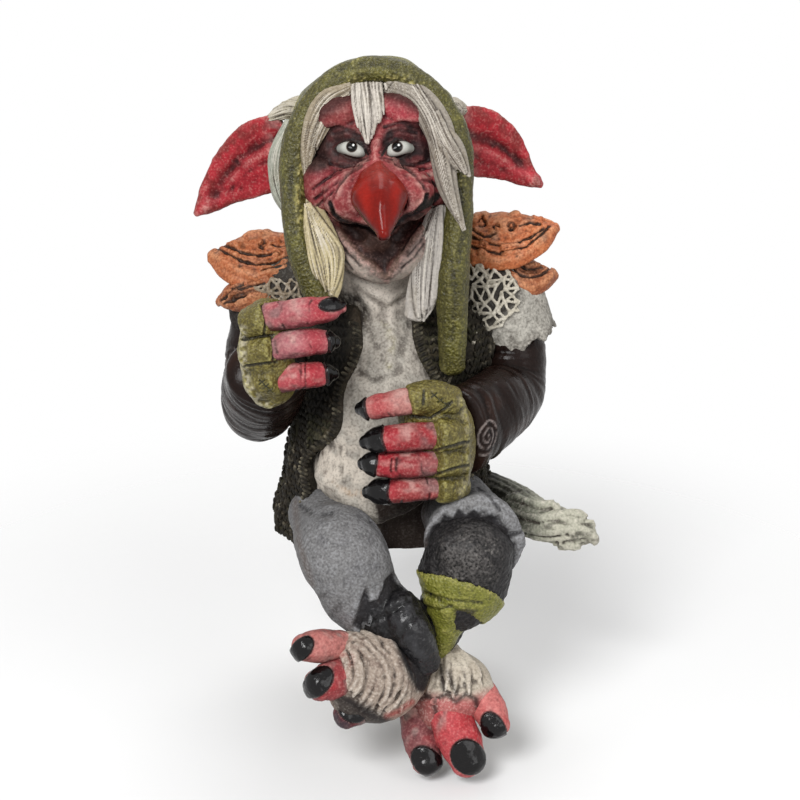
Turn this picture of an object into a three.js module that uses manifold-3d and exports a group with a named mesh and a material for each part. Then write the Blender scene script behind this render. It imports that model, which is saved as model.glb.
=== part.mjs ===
// A garden goblin that sits on a ledge with its legs hanging down, cast in resin as separate pieces that are
// pinned and glued together. Millimetres, +Z up. The goblin faces -Y and sits on z = 0, with the origin under
// the middle of its seat. Left and right are the goblin's own, so left is +X.
import * as THREE from "three";
import { mergeVertices } from "three/addons/utils/BufferGeometryUtils.js";
import Module from "manifold-3d";

const wasm = await Module();
wasm.setup();

// Driving dimensions: joints between castings
const GLUE_GAP = 0.3;
const NECK_PIN_RADIUS = 4;
const NECK_PIN_LENGTH = 44;
const LIMB_PIN_RADIUS = 3;
const LIMB_PIN_LENGTH = 26;
const ANKLE_PIN_RADIUS = 2.5;
const ANKLE_PIN_LENGTH = 18;
const EAR_PIN_RADIUS = 1.6;
const EAR_PIN_LENGTH = 15;

// Driving dimensions: body, tunic and vest
const SEAT_HALF_WIDTH = 42;
const SEAT_HALF_DEPTH = 40;
const SEAT_FORWARD = 4;
const SEAT_TRIM = 6;
const WAIST_HEIGHT = 56;
const WAIST_HALF_WIDTH = 35;
const WAIST_HALF_DEPTH = 35;
const CHEST_HEIGHT = 86;
const CHEST_HALF_WIDTH = 42;
const CHEST_HALF_DEPTH = 30;
const BELLY_HALF_WIDTH = 27;
const BELLY_FORWARD = 57;
const COLLAR_RISE = 22;
const COLLAR_FORWARD = 19;
const COLLAR_RADIUS = 18;
const VEST_THICKNESS = 4;
const VEST_NECK_HALF_GAP = 16;
const VEST_HEM_HALF_GAP = 38;
const VEST_RIB_RADIUS = 3;
const VEST_RIB_HEIGHT = 1.4;

// Driving dimensions: head, face and ears
const HEAD_RISE = 40;
const HEAD_FORWARD = 14;
const HEAD_ASIDE = -4;
const HEAD_HALF_WIDTH = 31;
const HEAD_HALF_DEPTH = 33;
const HEAD_HALF_HEIGHT = 34;
const MUZZLE_HALF_WIDTH = 23;
const CHIN_DROP = 27;
const EYE_RADIUS = 6.5;
const EYE_SPACING = 18.8;
const EYE_RISE = 9.5;
const BEAK_LENGTH = 38;
const BEAK_HALF_WIDTH = 10.8;
const RIGHT_EAR_LENGTH = 50;
const LEFT_EAR_LENGTH = 41;
const EAR_HALF_HEIGHT = 15.5;
const EAR_THICKNESS = 10;

// Driving dimensions: hood and hair
const HOOD_ROLL_RADIUS = 5.2;
const HOOD_TAIL_RADIUS = 6;
const HOOD_ARCH_HALF_WIDTH = 34.4;
const HOOD_ARCH_RISE = 38.4;
const HOOD_CAP_HALF_WIDTH = 39;
const HOOD_CAP_HALF_DEPTH = 37;
const LEFT_HOOD_TAIL_DROP = 75;
const RIGHT_HOOD_TAIL_DROP = 46;
const HAIR_THICKNESS = 5;

// Driving dimensions: shoulders, arms and hands
const SHOULDER_RISE = 12;
const SHOULDER_REACH = 46;
const ELBOW_DROP = 37;
const ELBOW_REACH = 53;
const FOREARM_RADIUS = 15.5;
const SLEEVE_HEM_HALF_WIDTH = 17;
const SLEEVE_DROP = 18;
const FINGER_RADIUS = 5.6;
const FINGER_TIP_RADIUS = 3.6;
const FUNGUS_THICKNESS = 10;
const LACE_THICKNESS = 1.6;
const LACE_GAP_RADIUS = 2;
const LACE_PITCH = 6.2;

// Driving dimensions: legs, feet and tail
const THIGH_HEIGHT = 16;
const THIGH_RADIUS = 18;
const HIP_SPREAD = 28;
const KNEE_FORWARD = 80;
const ANKLE_RADIUS = 11.5;
const FOOT_HALF_WIDTH = 17;
const TOE_RADIUS = 7;
const LEG_WRAP_THICKNESS = 1.5;
const LEG_WRAP_WIDTH = 11;
const LEG_WRAP_FALL_REACH = 15;
const TAIL_RADIUS = 8;
const TAIL_TUFT_HALF_WIDTH = 10;

// Finishes
const finish = (color, roughness, metalness = 0) =>
  new THREE.MeshStandardMaterial({ color, roughness, metalness });
const steel = finish(0xb4b6b8, 0.35, 0.9);
const redSkin = finish(0xb5484c, 0.6);
const redBeak = finish(0xa51d14, 0.25);
const eyeWhite = finish(0xd9dcd6, 0.25);
const greenCloth = finish(0x6a6a22, 0.45);
const whiteHair = finish(0xcfc9ba, 0.65);
const orangeFungus = finish(0xc8673c, 0.55);
const greyTunic = finish(0x9a958e, 0.75);
const darkKnit = finish(0x2f2d28, 0.7);
const whiteLace = finish(0xcdc8b8, 0.6);
const brownLeather = finish(0x352423, 0.4);
const greyTrouser = finish(0x7c7d82, 0.75);
const blackLegging = finish(0x2b2828, 0.5);
const paleFur = finish(0xb9a99a, 0.65);

// Places worked out from the driving dimensions
const point = (x, y, z) => new THREE.Vector3(x, y, z);
const LEFT = 1;
const RIGHT = -1;
const SHOULDER_HEIGHT = CHEST_HEIGHT + SHOULDER_RISE;
const COLLAR_HEIGHT = SHOULDER_HEIGHT + COLLAR_RISE;
const HEAD_HEIGHT = COLLAR_HEIGHT + HEAD_RISE;
const ELBOW_HEIGHT = SHOULDER_HEIGHT - ELBOW_DROP;
const SLEEVE_HEM_HEIGHT = SHOULDER_HEIGHT - SLEEVE_DROP;
const headCentre = point(HEAD_ASIDE, -HEAD_FORWARD, HEAD_HEIGHT);
const fromHead = (x, y, z) => point(x, y, z).add(headCentre);
const collarTop = point(HEAD_ASIDE / 2, -COLLAR_FORWARD, COLLAR_HEIGHT);
const shoulder = (side) => point(side * SHOULDER_REACH, -2, SHOULDER_HEIGHT);
const elbow = (side) => point(side * ELBOW_REACH, -19, ELBOW_HEIGHT + (side === LEFT ? 0 : -5));
const leftWrist = point(ELBOW_REACH - 21, -58, ELBOW_HEIGHT - 3);
const rightWrist = point(-ELBOW_REACH + 6, -54, ELBOW_HEIGHT + 20);
const hip = (side) => point(side * HIP_SPREAD, -30, THIGH_HEIGHT);
const leftKnee = point(HIP_SPREAD + 7, -KNEE_FORWARD + 3, THIGH_HEIGHT);
const rightKnee = point(-HIP_SPREAD + 7, -KNEE_FORWARD, THIGH_HEIGHT);
const leftAnkle = leftKnee.clone().add(point(-15, 4, -50));
const rightAnkle = rightKnee.clone().add(point(31, -6, -36));
const along = (start, x, y, z) => start.clone().add(point(x, y, z));

// Shaping tools: each returns a function that makes the solid, grown by so many millimetres
function solidOf(geometry) {
  const bare = geometry.index ? geometry : geometry.clone();
  bare.deleteAttribute("normal");
  bare.deleteAttribute("uv");
  const merged = mergeVertices(bare, 1e-4);
  return new wasm.Manifold(
    new wasm.Mesh({
      numProp: 3,
      vertProperties: new Float32Array(merged.attributes.position.array),
      triVerts: new Uint32Array(merged.index.array),
    }),
  );
}

// One stop of a swelling form: a point of its spine and the half sizes of its section there
const stop = (at, wide, deep = wide) => ({ at, wide, deep });

// A rounded form along a smooth spine. Its section is an ellipse, or squarer as `square` rises above 2, with
// `wide` measured along `side`. `domes` are how far the two ends bulge, as shares of the end section.
// `onSkin` gives a point of the form's skin, by its share of the spine and its angle round it.
function swell(stops, { side = [1, 0, 0], around = 10, between = 1, square = 2, domes = [0.8, 0.8] } = {}) {
  const spine = new THREE.CatmullRomCurve3(stops.map((s) => s.at));
  const sizes = new THREE.CatmullRomCurve3(stops.map((s) => point(s.wide, s.deep, 0)), false, "catmullrom");
  const steps = (stops.length - 1) * between;
  const squared = (value) => Math.sign(value) * Math.abs(value) ** (2 / square);
  const onSkin = (t, angle, grow = 0, shrink = 1, shift = 0) => {
    const tangent = spine.getTangent(t);
    const across = point(...side);
    across.addScaledVector(tangent, -across.dot(tangent)).normalize();
    const up = tangent.clone().cross(across);
    const size = sizes.getPoint(t);
    const at = spine.getPoint(t).addScaledVector(tangent, shift);
    at.addScaledVector(across, squared(Math.cos(angle)) * (size.x + grow) * shrink);
    return at.addScaledVector(up, squared(Math.sin(angle)) * (size.y + grow) * shrink);
  };
  const make = (grow = 0) => {
    const bulges = [0, 1].map((t, end) => {
      const size = sizes.getPoint(t);
      return Math.min(size.x, size.y) * domes[end] + grow;
    });
    const domed = bulges.map((bulge) => bulge > 2);
    const vertices = [];
    const ring = (t, shrink, shift) => {
      for (let i = 0; i < around; i++) {
        const angle = (2 * Math.PI * i) / around;
        vertices.push(onSkin(t, angle, grow, shrink, shift));
      }
    };
    const pole = (t, shift) => spine.getPoint(t).addScaledVector(spine.getTangent(t), shift);
    if (domed[0]) ring(0, Math.SQRT1_2, -bulges[0] * Math.SQRT1_2);
    ring(0, 1, domed[0] ? 0 : -grow);
    for (let r = 1; r < steps; r++) ring(r / steps, 1, 0);
    ring(1, 1, domed[1] ? 0 : grow);
    if (domed[1]) ring(1, Math.SQRT1_2, bulges[1] * Math.SQRT1_2);
    const rings = vertices.length / around;
    const first = vertices.push(pole(0, -bulges[0])) - 1;
    const last = vertices.push(pole(1, bulges[1])) - 1;
    const triangles = [];
    for (let i = 0; i < around; i++) {
      const j = (i + 1) % around;
      const top = (rings - 1) * around;
      triangles.push(first, j, i, last, top + i, top + j);
      for (let low = 0; low < top; low += around) {
        const high = low + around;
        triangles.push(low + i, low + j, high + j, low + i, high + j, high + i);
      }
    }
    const geometry = new THREE.BufferGeometry().setFromPoints(vertices);
    geometry.setIndex(triangles);
    return solidOf(geometry);
  };
  return Object.assign(make, { onSkin });
}

// An egg with three half sizes
function ball(centre, wide, deep, high, across = 14, down = 8) {
  return (grow = 0) => {
    const geometry = new THREE.SphereGeometry(1, across, down);
    geometry.scale(wide + grow, deep + grow, high + grow);
    geometry.translate(centre.x, centre.y, centre.z);
    return solidOf(geometry);
  };
}

// A round pin between two points
function rod(from, to, radius, sides = 12) {
  const length = from.distanceTo(to);
  const turn = new THREE.Quaternion().setFromUnitVectors(point(0, 1, 0), to.clone().sub(from).normalize());
  const middle = from.clone().lerp(to, 0.5);
  return (grow = 0) => {
    const geometry = new THREE.CylinderGeometry(radius + grow, radius + grow, length + 2 * grow, sides);
    geometry.applyQuaternion(turn);
    geometry.translate(middle.x, middle.y, middle.z);
    return solidOf(geometry);
  };
}

// A block between two corners
function block(low, high) {
  return (grow = 0) => {
    const size = high.clone().sub(low).addScalar(2 * grow);
    const middle = low.clone().lerp(high, 0.5);
    const geometry = new THREE.BoxGeometry(size.x, size.y, size.z);
    geometry.translate(middle.x, middle.y, middle.z);
    return solidOf(geometry);
  };
}

// An outline drawn as [x, z] in the front view, carried from one depth to another
function frontPrism(outline, fromY, toY) {
  const shape = new THREE.Shape(outline.map(([x, z]) => new THREE.Vector2(x, z)));
  return () => {
    const geometry = new THREE.ExtrudeGeometry(shape, { depth: toY - fromY, bevelEnabled: false });
    geometry.rotateX(Math.PI / 2);
    geometry.translate(0, toY, 0);
    return solidOf(geometry);
  };
}

// An outline given by points in the side view, carried right across the figure
function sidePrism(outline) {
  const shape = new THREE.Shape(outline.map(({ y, z }) => new THREE.Vector2(y, z)));
  return () => {
    const geometry = new THREE.ExtrudeGeometry(shape, { depth: 400, bevelEnabled: false });
    geometry.translate(0, 0, -200);
    geometry.rotateX(Math.PI / 2);
    geometry.rotateZ(Math.PI / 2);
    return solidOf(geometry);
  };
}

// Assembly: pieces are set in order, and each is cut back from those set before it by the glue gap
const together = (solids) => solids.reduce((all, one) => all.add(one));
const apart = (a, b) =>
  [0, 1, 2].some((k) => a.min[k] > b.max[k] || b.min[k] > a.max[k]);
const setPieces = [];
const figure = new THREE.Group();

function shaped({ add, keep, cut }, grow) {
  let solid = together(add.map((make) => make(grow)));
  if (keep.length) solid = solid.intersect(together(keep.map((make) => make(grow))));
  if (cut.length) solid = solid.subtract(together(cut.map((make) => make(-grow))));
  return solid;
}

function piece(name, material, add, { keep = [], cut = [] } = {}) {
  const recipe = { add, keep, cut };
  let solid = shaped(recipe, 0);
  for (const earlier of setPieces)
    if (!apart(earlier.boundingBox(), solid.boundingBox())) solid = solid.subtract(earlier);
  const largest = solid.decompose().reduce((best, one) => (one.volume() > best.volume() ? one : best));
  setPieces.push(shaped(recipe, GLUE_GAP));
  const { vertProperties, triVerts } = largest.getMesh();
  const geometry = new THREE.BufferGeometry();
  geometry.setAttribute("position", new THREE.BufferAttribute(vertProperties, 3));
  geometry.setIndex(new THREE.BufferAttribute(triVerts, 1));
  geometry.computeVertexNormals();
  const mesh = new THREE.Mesh(geometry, material);
  mesh.name = name;
  figure.add(mesh);
}

const sideName = (side) => (side === LEFT ? "left" : "right");

// Steel pins, glued into the castings on both sides of each joint
const neckFoot = along(collarTop, 0, 4, -30);
piece("neck_pin", steel, [rod(neckFoot, along(neckFoot, 0, 0, NECK_PIN_LENGTH), NECK_PIN_RADIUS)]);
for (const side of [LEFT, RIGHT]) {
  const earPinStart = fromHead(side * (HEAD_HALF_WIDTH - 11), 16, 0);
  const shoulderPinStart = along(shoulder(side), -side * 18, 0, -4);
  const hipPinStart = along(hip(side), 0, 14, 0);
  const earPinEnd = along(earPinStart, side * EAR_PIN_LENGTH, 0, 0);
  const shoulderPinEnd = along(shoulderPinStart, side * LIMB_PIN_LENGTH, 0, 0);
  const hipPinEnd = along(hipPinStart, 0, -LIMB_PIN_LENGTH, 0);
  piece(sideName(side) + "_ear_pin", steel, [rod(earPinStart, earPinEnd, EAR_PIN_RADIUS, 8)]);
  piece(sideName(side) + "_shoulder_pin", steel, [rod(shoulderPinStart, shoulderPinEnd, LIMB_PIN_RADIUS, 10)]);
  piece(sideName(side) + "_hip_pin", steel, [rod(hipPinStart, hipPinEnd, LIMB_PIN_RADIUS, 10)]);
}
const anklePin = (ankle, lean) => {
  const half = lean.clone().normalize().multiplyScalar(ANKLE_PIN_LENGTH / 2);
  return rod(ankle.clone().sub(half), ankle.clone().add(half), ANKLE_PIN_RADIUS, 8);
};
piece("left_ankle_pin", steel, [anklePin(leftAnkle, point(4, -6, -10))]);
piece("right_ankle_pin", steel, [anklePin(rightAnkle, point(-3, -5, -10))]);

// Head: eyes, beak and the head casting with its muzzle, jaw and open mouth
for (const side of [LEFT, RIGHT]) {
  const eye = fromHead((side * EYE_SPACING) / 2, -HEAD_HALF_DEPTH + 7.5, EYE_RISE);
  piece(sideName(side) + "_eye", eyeWhite, [ball(eye, EYE_RADIUS, EYE_RADIUS, EYE_RADIUS, 10, 6)]);
}
const beakRoot = fromHead(0, -HEAD_HALF_DEPTH + 3, 8);
const beakAt = (share, drop) => along(beakRoot, 2.4 * share, -BEAK_LENGTH * share, drop);
const beak = swell(
  [
    stop(beakRoot, 2.5, 2.5),
    stop(beakAt(0.27, -4), 8, 7),
    stop(beakAt(0.53, -9.5), BEAK_HALF_WIDTH, 9.5),
    stop(beakAt(0.78, -15.5), BEAK_HALF_WIDTH * 0.68, 8),
    stop(beakAt(0.96, -21), 2.6, 2.6),
  ],
  { between: 2 },
);
piece("beak", redBeak, [beak]);
const cranium = ball(headCentre, HEAD_HALF_WIDTH, HEAD_HALF_DEPTH, HEAD_HALF_HEIGHT, 14, 9);
const muzzle = ball(fromHead(1, -32, -7), MUZZLE_HALF_WIDTH, 16, 11.5, 12, 7);
const chin = fromHead(1, -28, -CHIN_DROP);
const jaw = swell([stop(fromHead(0, -4, -18), 23, 15), stop(along(chin, 0, 6, 2), 15, 10), stop(chin, 9, 8)]);
const neck = swell([stop(fromHead(0, -2, -20), 15), stop(along(collarTop, 0, 2, -8), 14)]);
const smile = swell(
  [
    stop(fromHead(-MUZZLE_HALF_WIDTH + 1, -32, -9), 1.5),
    stop(fromHead(-11, -42, -17), 3.5, 5),
    stop(fromHead(1, -45, -20), 4.5, 6),
    stop(fromHead(13, -42, -17), 3.5, 5),
    stop(fromHead(MUZZLE_HALF_WIDTH + 2, -32, -8), 1.5),
  ],
  { side: [0, 0, 1], around: 8 },
);
piece("head", redSkin, [cranium, muzzle, jaw, neck], { cut: [smile] });

// Hair: forelock, two sweeps under the hood and two long locks beside the chin
const lock = (stops, side) => [
  swell(stops.map(([at, half]) => stop(at, half, Math.min(half, HAIR_THICKNESS / 2))), { side, around: 8 }),
];
piece(
  "forelock",
  whiteHair,
  lock(
    [
      [fromHead(-3, -16, 33), 9],
      [fromHead(-3, -28, 22), 7],
      [fromHead(-3, -33, 11), 1.5],
    ],
    [1, 0, 0],
  ),
);
piece(
  "left_hair_sweep",
  whiteHair,
  [
    ...lock(
      [
        [fromHead(6, -16, 32), 5],
        [fromHead(18, -22, 27), 6],
        [fromHead(26, -26, 16), 6],
        [fromHead(31, -31, 4), 5],
        [fromHead(36, -38, -16), 1.6],
      ],
      [0.7, 0, 0.7],
    ),
    ...lock(
      [
        [fromHead(24, -26, 18), 4],
        [fromHead(31, -31, 10), 4.5],
        [fromHead(37, -36, 1), 1.6],
      ],
      [0.7, 0, 0.7],
    ),
  ],
);
piece(
  "right_hair_sweep",
  whiteHair,
  lock(
    [
      [fromHead(-8, -16, 33), 5],
      [fromHead(-19, -20, 25), 6],
      [fromHead(-26, -23, 12), 5],
      [fromHead(-28.5, -26, -3), 1.6],
    ],
    [0.7, 0, -0.7],
  ),
);
piece(
  "left_hair_lock",
  whiteHair,
  lock(
    [
      [fromHead(26, -26, -15), 4],
      [fromHead(23, -29, -31), 6.5],
      [fromHead(19, -30, -47), 6.5],
      [fromHead(15.5, -31, -58), 4],
    ],
    [1, 0, 0.2],
  ),
);
piece(
  "right_hair_lock",
  whiteHair,
  lock(
    [
      [fromHead(-24, -26, -10), 4],
      [fromHead(-21, -32, -23), 7.5],
      [fromHead(-17, -36, -37), 7.5],
      [fromHead(-14, -37, -46), 2],
    ],
    [1, 0, -0.3],
  ),
);

// Ears: pointed leaves scooped out in front, each with a tuft of hair on top
const earStops = (side, length, drop) =>
  [
    [0, 0, 0.78],
    [0.35, 0.13, 1],
    [0.7, 0.48, 0.68],
    [1, 1, 0.1],
  ].map(([out, down, high]) =>
    stop(
      fromHead(side * (HEAD_HALF_WIDTH - 4 + length * out), 16 + 6 * out, 1 - drop * down),
      EAR_HALF_HEIGHT * high,
      (EAR_THICKNESS / 2) * Math.max(high, 0.3),
    ),
  );
const ear = (side, length, drop) => {
  const leaf = earStops(side, length, drop);
  const scoop = leaf.map(({ at, wide }) => stop(along(at, 0, -5.5, -0.5), wide * 0.72, 5));
  piece(sideName(side) + "_ear", redSkin, [swell(leaf, { side: [0, 0, 1] })], {
    cut: [swell(scoop.slice(1, 3), { side: [0, 0, 1], between: 3 })],
  });
  const top = along(leaf[0].at, side * 3, -4, EAR_HALF_HEIGHT);
  piece(
    sideName(side) + "_ear_tuft",
    whiteHair,
    lock(
      [
        [along(top, -side * 4, 0, 2), 4],
        [along(top, side * 4, 2, 0), 5],
        [along(top, side * 14, 4, -6), 1.6],
      ],
      [0, 1, 0],
    ),
  );
};
ear(LEFT, LEFT_EAR_LENGTH, 19);
ear(RIGHT, RIGHT_EAR_LENGTH, 29);

// Hands: fingers set into fingerless gloves, on arms clad in leather from shoulder to wrist
const digit = (root, middle, tip, radius, tipRadius) => {
  const stops = [stop(root, radius), stop(middle, radius), stop(tip, tipRadius)];
  return swell(stops, { side: [0, 0, 1], around: 8, between: 2 });
};
const finger = (name, root, reach, rise) =>
  piece(name, redSkin, [
    digit(
      root,
      along(root, reach * 0.52, -4.5, rise * 0.6),
      along(root, reach, -2.5, rise),
      FINGER_RADIUS,
      FINGER_TIP_RADIUS,
    ),
  ]);
const leftPalm = along(leftWrist, -11, -11, 0);
finger("left_index_finger", along(leftPalm, -11, -4, 18), -19, -2);
finger("left_middle_finger", along(leftPalm, -2, -7, 6), -27, -3);
finger("left_ring_finger", along(leftPalm, -1, -7, -6.5), -27, -1.5);
finger("left_little_finger", along(leftPalm, 0, -5, -18), -27, -1.5);
piece("left_glove", greenCloth, [
  swell(
    [
      stop(along(leftPalm, 2, 2, -19), 10, 8),
      stop(along(leftPalm, 1, 0, -8), 14, 9),
      stop(along(leftPalm, -1, 0, 6), 15, 9),
      stop(along(leftPalm, -5, 0, 17), 12, 8),
    ],
    { around: 12 },
  ),
]);
const rightPalm = along(rightWrist, -1, -10, 11);
finger("right_index_finger", along(rightPalm, 6, -6, 18), 24, 4.5);
finger("right_middle_finger", along(rightPalm, 6, -6, 6), 22, 0);
finger("right_ring_finger", along(rightPalm, 5, -4, -7), 20, 2.5);
piece("right_glove", greenCloth, [
  swell(
    [
      stop(along(rightPalm, 1, 2, -14), 9, 9),
      stop(along(rightPalm, 0, -1, -5), 12, 11),
      stop(along(rightPalm, -1, -1, 8), 12, 11),
      stop(along(rightPalm, 1, 0, 17), 8.5, 8),
    ],
    { around: 12 },
  ),
]);
const armAt = (side, wrist, share, aside) =>
  elbow(side).lerp(wrist, share).add(point(side * aside, 0, 0));
const leftArm = [
  stop(shoulder(LEFT), FOREARM_RADIUS - 2),
  stop(shoulder(LEFT).lerp(elbow(LEFT), 0.5).add(point(3, 3, 0)), FOREARM_RADIUS - 1),
  stop(elbow(LEFT), FOREARM_RADIUS),
  stop(armAt(LEFT, leftWrist, 0.5, 3), FOREARM_RADIUS + 1.5, FOREARM_RADIUS),
  stop(leftWrist, FOREARM_RADIUS + 4, FOREARM_RADIUS - 3),
];
const rightArm = [
  stop(shoulder(RIGHT), FOREARM_RADIUS - 2),
  stop(shoulder(RIGHT).lerp(elbow(RIGHT), 0.5).add(point(-3, 3, 0)), FOREARM_RADIUS - 1),
  stop(elbow(RIGHT), FOREARM_RADIUS),
  stop(armAt(RIGHT, rightWrist, 0.5, 0), FOREARM_RADIUS + 1.5),
  stop(rightWrist, FOREARM_RADIUS + 1, FOREARM_RADIUS - 1),
];
piece("left_arm", brownLeather, [swell(leftArm, { side: [0, 0, 1], around: 12, domes: [0.8, 0.4] })]);
piece("right_arm", brownLeather, [swell(rightArm, { side: [1, 0, 0], around: 12, domes: [0.8, 0.4] })]);

// Feet and legs: toes set into furry feet, dark leggings, a strap round the left shin and ragged trousers
const toe = (name, root, reach, radius) =>
  piece(name, redSkin, [
    digit(root, root.clone().addScaledVector(reach, 0.55), root.clone().add(reach), radius, radius * 0.74),
  ]);
const leftInstep = along(leftAnkle, 9, -14, -15);
toe("left_big_toe", along(leftInstep, -13, 1, -7), point(1, -11, -15), TOE_RADIUS);
toe("left_middle_toe", along(leftInstep, -1, -2, -5), point(6, -11, -17), TOE_RADIUS + 2);
toe("left_little_toe", along(leftInstep, 10, 2, 4), point(6, -9, -11), TOE_RADIUS);
piece("left_foot", paleFur, [
  swell(
    [
      stop(along(leftAnkle, 1, -2, -5), ANKLE_RADIUS + 1, ANKLE_RADIUS),
      stop(along(leftAnkle, 6, -8, -11), FOOT_HALF_WIDTH, 13),
      stop(leftInstep, FOOT_HALF_WIDTH, 11),
    ],
    { side: [0.89, 0, 0.46], around: 12 },
  ),
]);
const rightInstep = along(rightAnkle, -23, -13, -11);
toe("right_big_toe", along(rightInstep, -5, 0, 14), point(-14, -8, 3), TOE_RADIUS - 0.5);
toe("right_middle_toe", along(rightInstep, -1, -2, 3), point(-12, -9, -1), TOE_RADIUS + 1);
toe("right_little_toe", along(rightInstep, 7, 2, -12), point(-10, -7, -3), TOE_RADIUS - 0.5);
piece("right_foot", paleFur, [
  swell(
    [
      stop(along(rightAnkle, -2, -1, -5), ANKLE_RADIUS + 3, ANKLE_RADIUS + 1),
      stop(along(rightAnkle, -11, -8, -13), FOOT_HALF_WIDTH + 2, 14),
      stop(rightInstep, FOOT_HALF_WIDTH, 12),
    ],
    { side: [-0.51, -0.11, 0.85], around: 12 },
  ),
]);
const leftShin = swell(
  [
    stop(along(leftKnee, -1, -1, -1), THIGH_RADIUS - 0.5, THIGH_RADIUS - 1.5),
    stop(along(leftKnee, -4, -2, -14), THIGH_RADIUS + 0.5, THIGH_RADIUS - 3),
    stop(along(leftKnee, -11, 0, -33), ANKLE_RADIUS + 0.5),
    stop(along(leftAnkle, 0, 1, 2), ANKLE_RADIUS),
  ],
  { around: 12 },
);
piece("left_shin", blackLegging, [leftShin]);
const rightShin = swell(
  [
    stop(along(rightKnee, 9, -3, -14), ANKLE_RADIUS + 1.5),
    stop(along(rightKnee, 19, -5, -24), ANKLE_RADIUS + 1.5),
    stop(along(rightAnkle, -4, 0, 4), ANKLE_RADIUS + 2),
    stop(rightAnkle, ANKLE_RADIUS),
  ],
  { side: [0, 1, 0] },
);
piece("right_shin", blackLegging, [rightShin]);
const strapTurn = (middle, across, reach) => {
  const half = across.normalize().multiplyScalar(LEG_WRAP_WIDTH / 2);
  return rod(middle.clone().sub(half), middle.clone().add(half), reach, 8);
};
piece("leg_strap", greenCloth, [(grow = 0) => leftShin(LEG_WRAP_THICKNESS + GLUE_GAP + grow)], {
  keep: [
    strapTurn(along(leftKnee, -6, 0, -21), point(0.3, 0, 1), 2 * THIGH_RADIUS),
    strapTurn(along(leftKnee, -10, -4, -33), point(-0.8, 0, 1), LEG_WRAP_FALL_REACH),
  ],
});
piece("left_trouser_leg", greyTrouser, [
  swell(
    [
      stop(hip(LEFT), THIGH_RADIUS - 3),
      stop(along(leftKnee, -1, 22, -1), THIGH_RADIUS - 1, THIGH_RADIUS - 2),
      stop(along(leftKnee, 1, 1, 2), THIGH_RADIUS + 2.2, THIGH_RADIUS + 0.8),
    ],
    { around: 12, domes: [0, 0.25] },
  ),
]);
piece("right_trouser_leg", greyTrouser, [
  swell(
    [
      stop(hip(RIGHT), THIGH_RADIUS - 3),
      stop(along(rightKnee, -3, 25, -1), THIGH_RADIUS - 1, THIGH_RADIUS - 2),
      stop(along(rightKnee, 0, 0, 1), THIGH_RADIUS + 0.5, THIGH_RADIUS - 1),
      stop(along(rightKnee, 7, -5, -15), THIGH_RADIUS - 1, THIGH_RADIUS - 3),
      stop(along(rightKnee, 14, -6, -24), THIGH_RADIUS - 2, THIGH_RADIUS - 5),
    ],
    { around: 12, domes: [0, 0.2] },
  ),
]);

// Body: the tunic-clad trunk with its flat seat and its belly over the lap, sleeves, and the open knitted vest
const TRUNK_FACETS = 16;
const trunk = swell(
  [
    stop(point(0, -SEAT_FORWARD, -SEAT_TRIM), SEAT_HALF_WIDTH, SEAT_HALF_DEPTH),
    stop(point(0, -SEAT_FORWARD - 1, WAIST_HEIGHT / 2), SEAT_HALF_WIDTH - 4, SEAT_HALF_DEPTH - 1),
    stop(point(0, -SEAT_FORWARD - 2, WAIST_HEIGHT), WAIST_HALF_WIDTH, WAIST_HALF_DEPTH),
    stop(point(0, -SEAT_FORWARD, CHEST_HEIGHT), CHEST_HALF_WIDTH, CHEST_HALF_DEPTH),
    stop(point(0, -SEAT_FORWARD - 3, SHOULDER_HEIGHT + 4), COLLAR_RADIUS + 8, COLLAR_RADIUS),
  ],
  { around: TRUNK_FACETS, square: 2.8, domes: [0, 0.3] },
);
const belly = swell(
  [
    stop(point(0, -12, CHEST_HEIGHT), BELLY_HALF_WIDTH - 4, 22),
    stop(point(-2, -BELLY_FORWARD + 27, WAIST_HEIGHT), BELLY_HALF_WIDTH, 22),
    stop(point(-4, -BELLY_FORWARD + 18, WAIST_HEIGHT - 20), BELLY_HALF_WIDTH, 17),
  ],
  { around: 12, domes: [0.5, 0.6] },
);
const collar = swell(
  [stop(point(0, -8, SHOULDER_HEIGHT - 4), COLLAR_RADIUS + 3), stop(collarTop, COLLAR_RADIUS)],
  { around: 14, domes: [0.5, 0.1] },
);
const belowSeat = block(point(-200, -200, -60), point(200, 200, 0));
const flatSeat = [() => belowSeat()];
piece("body", greyTunic, [trunk, belly, collar], { cut: flatSeat });
const sleeveStops = (side, hem, halfWidth) => [
  stop(along(shoulder(side), -side * 8, 0, 9), SLEEVE_HEM_HALF_WIDTH - 4),
  stop(along(shoulder(side), side * 2, -3, -2), halfWidth + 1),
  stop(hem, halfWidth),
];
const sleeves = {
  left: sleeveStops(LEFT, point(SHOULDER_REACH + 10, -7, SLEEVE_HEM_HEIGHT), SLEEVE_HEM_HALF_WIDTH),
  right: sleeveStops(RIGHT, point(-SHOULDER_REACH - 1, -6, SLEEVE_HEM_HEIGHT + 6), SLEEVE_HEM_HALF_WIDTH - 1),
};
const sleeve = (stops) => swell(stops, { around: 12, domes: [0.5, 0.05] });
piece("left_sleeve", greyTunic, [sleeve(sleeves.left)]);
piece("right_sleeve", greyTunic, [sleeve(sleeves.right)]);
const vestEdge = [
  [VEST_NECK_HALF_GAP, COLLAR_HEIGHT + 20],
  [VEST_NECK_HALF_GAP - 2, SHOULDER_HEIGHT],
  [(VEST_NECK_HALF_GAP + VEST_HEM_HALF_GAP) / 2, WAIST_HEIGHT + 6],
  [VEST_HEM_HALF_GAP - 3, WAIST_HEIGHT / 2],
  [VEST_HEM_HALF_GAP, -10],
];
const mirrored = vestEdge.map(([x, z]) => [-x, z]).reverse();
const vestOpening = frontPrism([...vestEdge, ...mirrored], -100, -12);
const vestShell = (grow = 0) => trunk(VEST_THICKNESS + GLUE_GAP + grow);
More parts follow.
